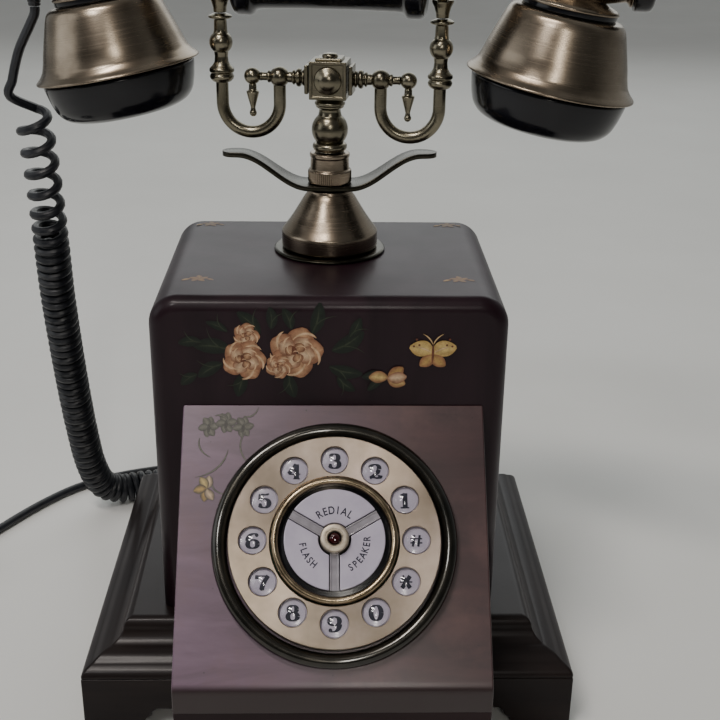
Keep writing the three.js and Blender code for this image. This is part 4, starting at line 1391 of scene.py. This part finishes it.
def cradle_block():
    """A square block with a sunk panel and boss on its faces, and a stepped crown with a button."""
    half = BLOCK_HALF
    place = shifted(CRADLE, 0, 0, ARM_HEIGHT)
    made = brick("cradle_block_square", (-half, -half, -half), (half, half, half), place)
    sunk = half - 1.15
    front = brick("sunk_front", (-sunk, -half - 1, -sunk), (sunk, -half + 0.55, sunk), place)
    back = brick("sunk_back", (-sunk, half - 0.55, -sunk), (sunk, half + 1, sunk), place)
    carve(made, front, back)
    dress(bevel(made, 0.42, 3, 40), "cradle_block", CRADLE_BRASS)
    for name, turn in (("front", math.pi / 2), ("back", -math.pi / 2)):
        boss = [(0, 5.6), (5.1, 5.6), (5.1, 6.6), (4.7, 7.1), *arc(0, 3.9, 5.1, 50, 90, 10)]
        facing = place @ Matrix.Rotation(turn, 4, "X")
        made = lathe(f"cradle_block_boss_{name}", soften(boss, 0.2), facing, 72)
        dress(made, "cradle_block", CRADLE_BRASS, stands=False)
    step = brick("cradle_block_crown", (-4.9, -4.9, half - 0.3), (4.9, 4.9, half + 1.0), place)
    dress(bevel(step, 0.6, 3), "cradle_block", CRADLE_BRASS, stands=False)
    button = [(0, half), (2.9, half), (2.9, half + 1.5), (2.4, half + 2.2), (0, half + 2.6)]
    made = lathe("cradle_block_button", soften(button, 0.5), place, 60)
    dress(made, "cradle_block", CRADLE_BRASS, stands=False)


def cradle_arm(side, label):
    """Square rosette, turned bar with its ball, end ball and the drop finial under it."""
    node = f"cradle_arm_{label}"
    centre = shifted(CRADLE, 0, 0, ARM_HEIGHT)
    along = laid_along(centre, side)
    profile = [
        (0, 8), (2.4, 8), (2.4, 9.0), (3.0, 9.4), (3.0, 9.9), (2.1, 10.2), (2.1, 10.6),
        *arc(2.4, 11.4, 1.0, -70, 70, 6),
        (2.1, 12.3), (2.1, 12.7), (2.7, 13.0), (2.7, 13.5), (2.0, 13.9), (2.0, 15.0),
        *arc(0, INNER_LEG, 3.75, -60, 60, 16),
        (2.2, 22.2), (2.2, 22.8), (1.5, 23.1), (1.45, 25), (1.7, 25.7), (0, 26.2),
    ]
    dress(lathe(node + "_bar", soften(profile, 0.22, steps=3), along, 64), node, CRADLE_BRASS)
    plate = brick(node + "_rosette", (-5.2, -5.2, 7.3), (5.2, 5.2, 8.8), along)
    dress(bevel(plate, 0.45, 3), node, CRADLE_BRASS, stands=False)
    hanging = shifted(CRADLE, side * 28.75, 0, ARM_HEIGHT)
    ball = arc(0, 0, 3.1, -75, 90, 20)
    finial = [
        (0, -14.9), *arc(0, -13.5, 1.35, -70, 40, 8), (0.85, -11.6), (1.2, -10.2), (2.3, -6.2), (2.4, -5.6),
        (1.9, -5.2), (1.45, -4.9), (1.4, -3.2), *ball[1:-1], (0, 3.1),
    ]
    made = lathe(node + "_finial", soften(finial, 0.18, steps=2), hanging, 56)
    dress(made, node, CRADLE_BRASS, stands=False)


def cradle_upright(side, label):
    node = f"cradle_upright_{label}"
    mid = (INNER_LEG + OUTER_LEG) / 2
    bend = (OUTER_LEG - INNER_LEG) / 2
    bottom = arc(mid, BEND_HEIGHT, bend, 180, 360, 40)
    route = [(INNER_LEG, ARM_HEIGHT - 2.6), (INNER_LEG, 58), *bottom, (OUTER_LEG, 63.5)]
    path = [Vector((side * x, 0, z)) for x, z in route]
    dress(sweep(node + "_tube", path, 2.3, 32, CRADLE), node, CRADLE_BRASS)
    profile = [
        (0, 62), (2.3, 62), (3.4, 62.4), (4.3, 63.4), (4.5, 64.4), (3.9, 65.3), (4.6, 66.0), (4.5, 67.0),
        (3.2, 68.4), (2.6, 69.4), (2.4, 71.4), *arc(0, 76.4, 4.25, -52, 52, 16), (2.4, 80.8), (2.3, 84.4),
        (4.3, 85.1), (4.3, 85.8), (2.6, 86.6), (0, 86.6),
    ]
    leg = shifted(CRADLE, side * OUTER_LEG, 0, 0)
    turned = lathe(node + "_turnings", soften(profile, 0.3, steps=3), leg, 72)
    dress(turned, node, CRADLE_BRASS, stands=False)


def cradle_fork(side, label):
    """Open saddle that the handset's neck lies in, on a small calyx."""
    node = f"cradle_fork_{label}"
    place = shifted(CRADLE, side * OUTER_LEG, 0, 0)
    bore, outer, prong = 7.5, 9.7, 7.5
    tip = (bore + outer) / 2
    outline = [
        *arc(0, 0, outer, 180, 360, 32), *arc(tip, prong - 1.1, 1.1, 0, 180, 8),
        *arc(0, 0, bore, 360, 180, 28), *arc(-tip, prong - 1.1, 1.1, 0, 180, 8),
    ]
    outline = [(y, z + HANDSET_HEIGHT) for y, z in outline]
    made = prism(node + "_saddle", outline, -2, 2, "x", place)
    dress(bevel(made, 0.5, 3, 50), node, CRADLE_BRASS)
    calyx = [(0, 86.9), (2.3, 86.9), (2.4, 88.4), (3.0, 90.6), (3.9, 92.4), (3.9, 93.2), (0, 93.2)]
    dress(lathe(node + "_calyx", soften(calyx, 0.4), place, 64), node, CRADLE_BRASS, stands=False)


cradle_post()
cradle_block()
for cradle_side, cradle_label in SIDES:
    cradle_arm(cradle_side, cradle_label)
    cradle_upright(cradle_side, cradle_label)
    cradle_fork(cradle_side, cradle_label)


# ---------------------------------------------------------------- handset
GRIP_HALF = 35
BELL_HEIGHT = 25.4
END_START = 105.8
END_STOP = 113
END_RADIUS = 10.8


def handset_grip():
    half = [
        (12.9, 24), (13.2, 26.4), (14.9, 27.6), (15.3, 28.6), (15.3, 32.4), (14.6, 33.8), (12.6, 34.6),
        (9, GRIP_HALF),
    ]
    mirrored = [(r, -z) for r, z in reversed(half)]
    profile = [(0, -GRIP_HALF), *mirrored, (12.6, -10), (12.6, 10), *half, (0, GRIP_HALF)]
    turned_piece("handset_grip", profile, laid_along(HANDSET, 1), BLACK, 120, radius=0.9)


def handset_neck(side, label):
    """Straight bar, elbow, then the cone, collar and dark groove ring over the bell."""
    node = f"handset_neck_{label}"
    elbow = RIM_X + (HANDSET_HEIGHT - RIM_HEIGHT) * math.tan(CUP_TILT)
    bar = [
        (0, 35.3), (8.4, 35.3), (8.4, 36.3), (7.3, 36.9), (7, 37.4), (7, 44), (7.6, 44.8), (8.2, 45.8),
        (8.2, 48.2), (7.2, 49.4), (6.2, 50.4), (6.2, 69), (7.2, 72), (8.6, elbow - 7), (8.9, elbow),
        (8.6, elbow + 7), (7.8, END_START - 2.2), (9.4, END_START - 1.2), (9.4, END_START - 0.3),
        (0, END_START - 0.3),
    ]
    turned_piece(node, bar, laid_along(HANDSET, side), radius=0.5)
    cup = cup_frame(side)
    bottom, top = BELL_HEIGHT + 0.3, BELL_HEIGHT + 2.6
    groove = soften([(0, bottom), (16.9, bottom), (16.9, top), (0, top)], 0.4)
    dress(lathe(node + "_groove", groove, cup, 96), node, BLACK, stands=False)
    cone = [
        (0, 27.4), (17.3, 27.4), (17.4, 28.3), (16.4, 29.0), (13.2, 30.2), (10.6, 31.2), (8.6, 32.6),
        (7.4, 34.6), (7.0, 37.4), (0, 38),
    ]
    dress(lathe(node + "_cone", soften(cone, 0.4), cup, 120), node, BRASS, stands=False)


def handset_bell(side, label):
    """Bell-shaped cup: rounded shoulder, straight taper, flared and rolled lip."""
    outside = [
        (30.3, 0.1), (30.5, 0.7), (30.0, 1.3), (28.6, 2.5), (27.2, 4.5), (26.2, 7.4), (25.3, 10.6),
        (23.6, 15.8), (21.5, 22.0), (20.6, 23.9), (19.2, 25.1), (17.4, BELL_HEIGHT),
    ]
    inside = [(6, BELL_HEIGHT), (6, 24.2), (17.2, 24), (19.6, 22), (23.8, 9.6), (26.2, 3), (28.6, 0.1)]
    profile = [*outside, *inside]
    turned_piece(f"handset_bell_{label}", profile, cup_frame(side), segments=160, closed=True, radius=0.8)


def handset_cap(side, node):
    """Black screw cap: bowl-shaped, with a ring of sound holes."""
    bowl = [
        (0, -16.2), (15, -16.0), (19.6, -15.5), (23.2, -14.0), (25.6, -11.3), (27.0, -7.2), (28.0, -2.6),
        (28.3, -0.4), (24, -0.4), (24, 3), (0, 3),
    ]
    cup = cup_frame(side)
    made = lathe(node + "_bowl", soften(bowl, 1.6, steps=6), cup, 140)
    holes = [(0, 0), *arc(0, 0, 5.4, 0, 300, 5)]
    carve(made, *[rod(f"hole_{x:.0f}_{y:.0f}", 1.0, -19, -13.5, shifted(cup, x, y, 0), 20) for x, y in holes])
    dress(made, node, BLACK)


def handset_end(side, label):
    profile = [
        (0, END_START), (END_RADIUS, END_START), (END_RADIUS, END_STOP - 2.4), (10.4, END_STOP - 1.2),
        (9.0, END_STOP - 0.3), (0, END_STOP),
    ]
    turned_piece(f"handset_end_{label}", profile, laid_along(HANDSET, side), BLACK, radius=0.8)


handset_grip()
for cup_side, cup_label in SIDES:
    handset_neck(cup_side, cup_label)
    handset_bell(cup_side, cup_label)
    handset_cap(cup_side, "mouthpiece_cap" if cup_side < 0 else "earpiece_cap")
    handset_end(cup_side, cup_label)


# ---------------------------------------------------------------- painted flowers
PEACH = (0.56, 0.34, 0.19)
CREAM = (0.70, 0.52, 0.34)
UMBER = (0.16, 0.055, 0.028)
RUST = (0.27, 0.115, 0.062)
LEAF = (0.013, 0.022, 0.013)
LEAF_DARK = (0.006, 0.010, 0.007)
LEAF_LIGHT = (0.050, 0.060, 0.034)
GOLD = (0.50, 0.33, 0.11)
YELLOW = (0.66, 0.50, 0.20)
RUBBED_GILT = (0.26, 0.17, 0.06)
FADED = (0.17, 0.165, 0.135)
FADED_DARK = (0.070, 0.066, 0.058)


def petal(x, y, length, width, degrees, bend, middle_color, edge_color):
    """A brush stroke from its root at (x, y), as rows of left, middle and right points with their colours."""
    rows = []
    steps = 9
    for i in range(steps + 1):
        t = i / steps
        turn = math.radians(degrees + bend * t)
        spot = (x + length * t * math.cos(turn), y + length * t * math.sin(turn))
        half = width / 2 * math.sin(math.pi * min(max(t * 0.94 + 0.03, 0), 1)) ** 0.75
        normal = (-math.sin(turn), math.cos(turn))
        tint = [m + (e - m) * abs(2 * t - 1) ** 2 * 0.6 for m, e in zip(middle_color, edge_color)]
        rows.append([
            ((spot[0] + normal[0] * half, spot[1] + normal[1] * half), edge_color),
            (spot, tint),
            ((spot[0] - normal[0] * half, spot[1] - normal[1] * half), edge_color),
        ])
    return rows


def rose(x, y, size, seed):
    """Own generic rose: broad cupped petals round a darker heart, each with a pale curled lip."""
    draw = random.Random(seed)
    strokes = []
    rings = ((1.0, 5, PEACH, RUST), (0.70, 4, CREAM, RUST), (0.42, 3, PEACH, UMBER))
    for ring_size, count, light, dark in rings:
        reach = size * ring_size
        for k in range(count):
            angle = 360 * (k + ring_size) / count + draw.uniform(-10, 10)
            turn = math.radians(angle)
            root = (x + 0.12 * reach * math.cos(turn), y + 0.12 * reach * math.sin(turn))
            bend = draw.uniform(-8, 8)
            strokes.append(petal(*root, reach * 0.90, reach * 1.02, angle, bend, light, dark))
            side = math.radians(angle - 34)
            lip = (x + reach * 0.94 * math.cos(side), y + reach * 0.94 * math.sin(side))
            strokes.append(petal(*lip, reach * 0.94, reach * 0.13, angle + 56, 62, CREAM, PEACH))
    strokes.append(petal(x - size * 0.16, y - size * 0.05, size * 0.32, size * 0.24, 20, 60, UMBER, UMBER))
    strokes.append(petal(x - size * 0.10, y, size * 0.26, size * 0.07, 70, -90, CREAM, RUST))
    return strokes


def leaf(x, y, length, width, degrees, bend=14):
    blade = petal(x, y, length, width, degrees, bend, LEAF, LEAF_DARK)
    vein = petal(x, y, length * 0.86, width * 0.13, degrees, bend, LEAF_LIGHT, LEAF)
    return [blade, vein]


def butterfly(x, y, size):
    strokes = []
    for side in (-1, 1):
        upper = 90 - side * 58
        lower = 270 + side * 34
        strokes.append(petal(x, y, size, size * 0.74, upper, side * -16, YELLOW, GOLD))
        strokes.append(petal(x, y - size * 0.08, size * 0.72, size * 0.52, lower, side * 12, GOLD, RUST))
        strokes.append(petal(x, y, size * 0.8, size * 0.10, upper, side * -10, CREAM, GOLD))
        for reach, turn in ((0.86, 10), (0.80, -12), (0.62, 0)):
            spot = math.radians(upper + side * turn)
            px, py = x + size * reach * math.cos(spot), y + size * reach * math.sin(spot)
            strokes.append(petal(px, py, size * 0.10, size * 0.10, upper, 0, UMBER, UMBER))
        feeler = 90 - side * 14
        strokes.append(petal(x, y + size * 0.34, size * 0.66, size * 0.06, feeler, side * -26, CREAM, GOLD))
    strokes.append(petal(x, y - size * 0.42, size * 0.84, size * 0.11, 90, 0, UMBER, UMBER))
    return strokes


def painting(name, strokes, place, node):
    """Lays the strokes on a surface, each a hair above the last."""
    points, colors, faces = [], [], []
    for level, rows in enumerate(strokes):
        height = 0.02 + 0.0035 * level
        start = len(points)
        for row in rows:
            for (x, y), color in row:
                points.append((x * MM, y * MM, height * MM))
                colors.append((*color, 1))
        for i in range(len(rows) - 1):
            a = start + 3 * i
            faces += [(a, a + 3, a + 4, a + 1), (a + 1, a + 4, a + 5, a + 2)]
    mesh = bpy.data.meshes.new(name)
    mesh.from_pydata(points, [], faces)
    attribute = mesh.color_attributes.new("paint", "FLOAT_COLOR", "POINT")
    for item, color in zip(attribute.data, colors):
        item.color = color
    mesh.shade_smooth()
    made = bpy.data.objects.new(name, mesh)
    made.matrix_world = place
    bpy.context.scene.collection.objects.link(made)
    dress(made, node, PAINT, stands=False)


def case_bouquet():
    """Four roses with leaves, a bud and a butterfly across the top of the case's front."""
    strokes = []
    for x, y, length, width, degrees in (
        (-34, 1, 13, 6, 158), (-37, -4, 10, 5, 196), (-24, 7, 11, 5, 118), (-6, 7, 12, 5, 62),
        (1, 1, 13, 6, 18), (0, -5, 12, 5, 332), (-14, -8, 9, 5, 268), (-29, -8, 9, 5, 236),
        (-44, 4, 8, 4, 168), (-46, -8, 7, 4, 200), (-13, 9, 8, 4, 96), (7, 6, 8, 4, 48),
        (3, -9, 8, 4, 305), (-35, 8, 8, 3, 140), (-20, 9, 8, 4, 78),
    ):
        strokes += leaf(x, y, length, width, degrees)
        strokes.append(petal(x, y, length * 0.9, 0.5, degrees + 20, -44, LEAF_LIGHT, LEAF))
    strokes += rose(-28.5, 6.6, 4.6, 23)
    strokes += rose(-29.5, -2.6, 7.6, 4)
    strokes += rose(-11.5, 0.4, 9.4, 11)
    strokes += rose(-17.5, -4.8, 4.6, 31)
    strokes += leaf(19.5, -8.5, 8, 4, 168) + leaf(19, -9.5, 7, 3, 205)
    for degrees, light in ((28, GOLD), (-30, YELLOW), (-4, CREAM), (170, YELLOW)):
        strokes.append(petal(20.5, -9, 6.6, 4.6, degrees, 8, light, RUST))
    strokes += butterfly(36, 0.4, 8.4)
    front = Matrix.Translation((0, CASE_LOW.y, CASE_HIGH.z - 0.0198)) @ Matrix.Rotation(math.pi / 2, 4, "X")
    painting("case_front_flowers", strokes, front, "case_shell")


def case_top_sprigs():
    """A small rubbed gilt blossom in each corner of the case's top."""
    strokes = []
    for x, y in ((-46.5, -28), (46.5, -28), (-48.5, 41), (48.5, 41)):
        for degrees in (10, 80, 150, 215, 290):
            strokes.append(petal(x, y, 3.6, 2.2, degrees, 18, RUBBED_GILT, UMBER))
        strokes.append(petal(x - 3.0, y - 0.5, 3.4, 1.8, 190, 20, GOLD, UMBER))
        strokes.append(petal(x + 2.6, y - 0.3, 3.2, 1.6, -8, -20, RUBBED_GILT, UMBER))
    centre = Matrix.Translation((0, (CASE_LOW.y + CASE_HIGH.y) / 2, CASE_HIGH.z))
    painting("case_top_sprigs", strokes, centre, "case_shell")


def panel_sprig():
    """Rubbed grey flowers with a trailing stem and a bud down the panel's left side."""
    strokes = []
    for x, y in ((-44, 41), (-38, 42.5), (-32, 41)):
        for degrees in (70, 110, 250, 290, 180, 0):
            strokes.append(petal(x, y, 3.8, 2.8, degrees, 10, FADED, FADED_DARK))
        strokes.append(petal(x, y + 1, 3.0, 1.2, 270, 0, FADED_DARK, FADED_DARK))
    for x, y, length, degrees, bend in (
        (-31, 39, 13, 225, 60), (-37, 33, 15, 262, -40), (-42, 23, 9, 240, 80), (-32, 45, 6, 330, 60),
        (-47, 37, 8, 250, 50), (-42, 45, 6, 20, -50),
    ):
        strokes.append(petal(x, y, length, 0.75, degrees, bend, FADED, FADED_DARK))
    for degrees, light in ((70, CREAM), (110, YELLOW), (250, GOLD), (290, CREAM), (180, GOLD)):
        strokes.append(petal(-44, 19, 4.6, 3.3, degrees, 10, light, FADED_DARK))
    painting("dial_panel_sprig", strokes, DIAL, "dial_panel")


case_bouquet()
case_top_sprigs()
panel_sprig()


# ---------------------------------------------------------------- inside
def inner_parts():
    """The CAD's own boards, speaker and switch, with a finish each."""
    finishes = {
        "main_circuit_board": LAMINATE, "keypad_circuit_board": LAMINATE,
        "ringer_speaker": STEEL, "hook_switch": BLACK,
    }
    for node, finish in finishes.items():
        mesh = frame["nodes"][node].data
        mesh.materials.clear()
        mesh.materials.append(finish)


inner_parts()


# ---------------------------------------------------------------- floor and light
def floor():
    mesh = bpy.data.meshes.new("floor")
    half = 6.0
    corners = [(-half, -half, 0), (half, -half, 0), (half, half, 0), (-half, half, 0)]
    mesh.from_pydata(corners, [], [(0, 1, 2, 3)])
    mesh.materials.append(pale_floor())
    made = bpy.data.objects.new("floor", mesh)
    bpy.context.scene.collection.objects.link(made)


def softbox(name, place, target, width, height, power, color=(1, 1, 1)):
    light = bpy.data.lights.new(name, "AREA")
    light.shape = "RECTANGLE"
    light.size = width
    light.size_y = height
    light.energy = power
    light.color = color
    made = bpy.data.objects.new(name, light)
    made.location = place
    made.rotation_mode = "QUATERNION"
    made.rotation_quaternion = (Vector(place) - Vector(target)).to_track_quat("Z", "Y")
    bpy.context.scene.collection.objects.link(made)


def surroundings():
    """A pale room: bright behind the telephone, dimmer on the camera's side."""
    world = bpy.data.worlds.new("room")
    bpy.context.scene.world = world
    world.use_nodes = True
    tree = world.node_tree
    direction = tree.nodes.new("ShaderNodeTexCoord").outputs["Generated"]
    axes = tree.nodes.new("ShaderNodeSeparateXYZ")
    tree.links.new(direction, axes.inputs[0])
    ramp = tree.nodes.new("ShaderNodeMapRange")
    ramp.inputs["From Min"].default_value = -0.5
    ramp.inputs["From Max"].default_value = 0.7
    ramp.inputs["To Min"].default_value = 0.06
    ramp.inputs["To Max"].default_value = 0.42
    tree.links.new(axes.outputs["Y"], ramp.inputs["Value"])
    seen = tree.nodes.new("ShaderNodeMix")
    tree.links.new(tree.nodes.new("ShaderNodeLightPath").outputs["Is Camera Ray"], seen.inputs[0])
    tree.links.new(ramp.outputs["Result"], seen.inputs[2])
    seen.inputs[3].default_value = 1.0
    background = tree.nodes["Background"]
    background.inputs["Color"].default_value = (0.93, 0.95, 0.93, 1)
    tree.links.new(seen.outputs[0], background.inputs["Strength"])


floor()
surroundings()
aim = (0, 0, 0.12)
softbox("window_light", (0.1, 1.3, 0.9), aim, 1.6, 1.0, 6, (0.97, 1.0, 0.98))
softbox("ceiling_light", (-0.35, -0.5, 1.3), aim, 0.5, 0.12, 7, (1.0, 0.93, 0.87))
softbox("ceiling_light_far", (-0.5, -0.85, 1.15), aim, 0.3, 0.12, 3, (1.0, 0.97, 0.95))
softbox("strip_light", (0.06, -1.15, 0.78), aim, 0.06, 0.4, 2.2, (1.0, 0.95, 0.88))
softbox("left_light", (-1.2, -0.2, 0.6), aim, 0.9, 0.7, 2.4, (0.97, 0.99, 1.0))
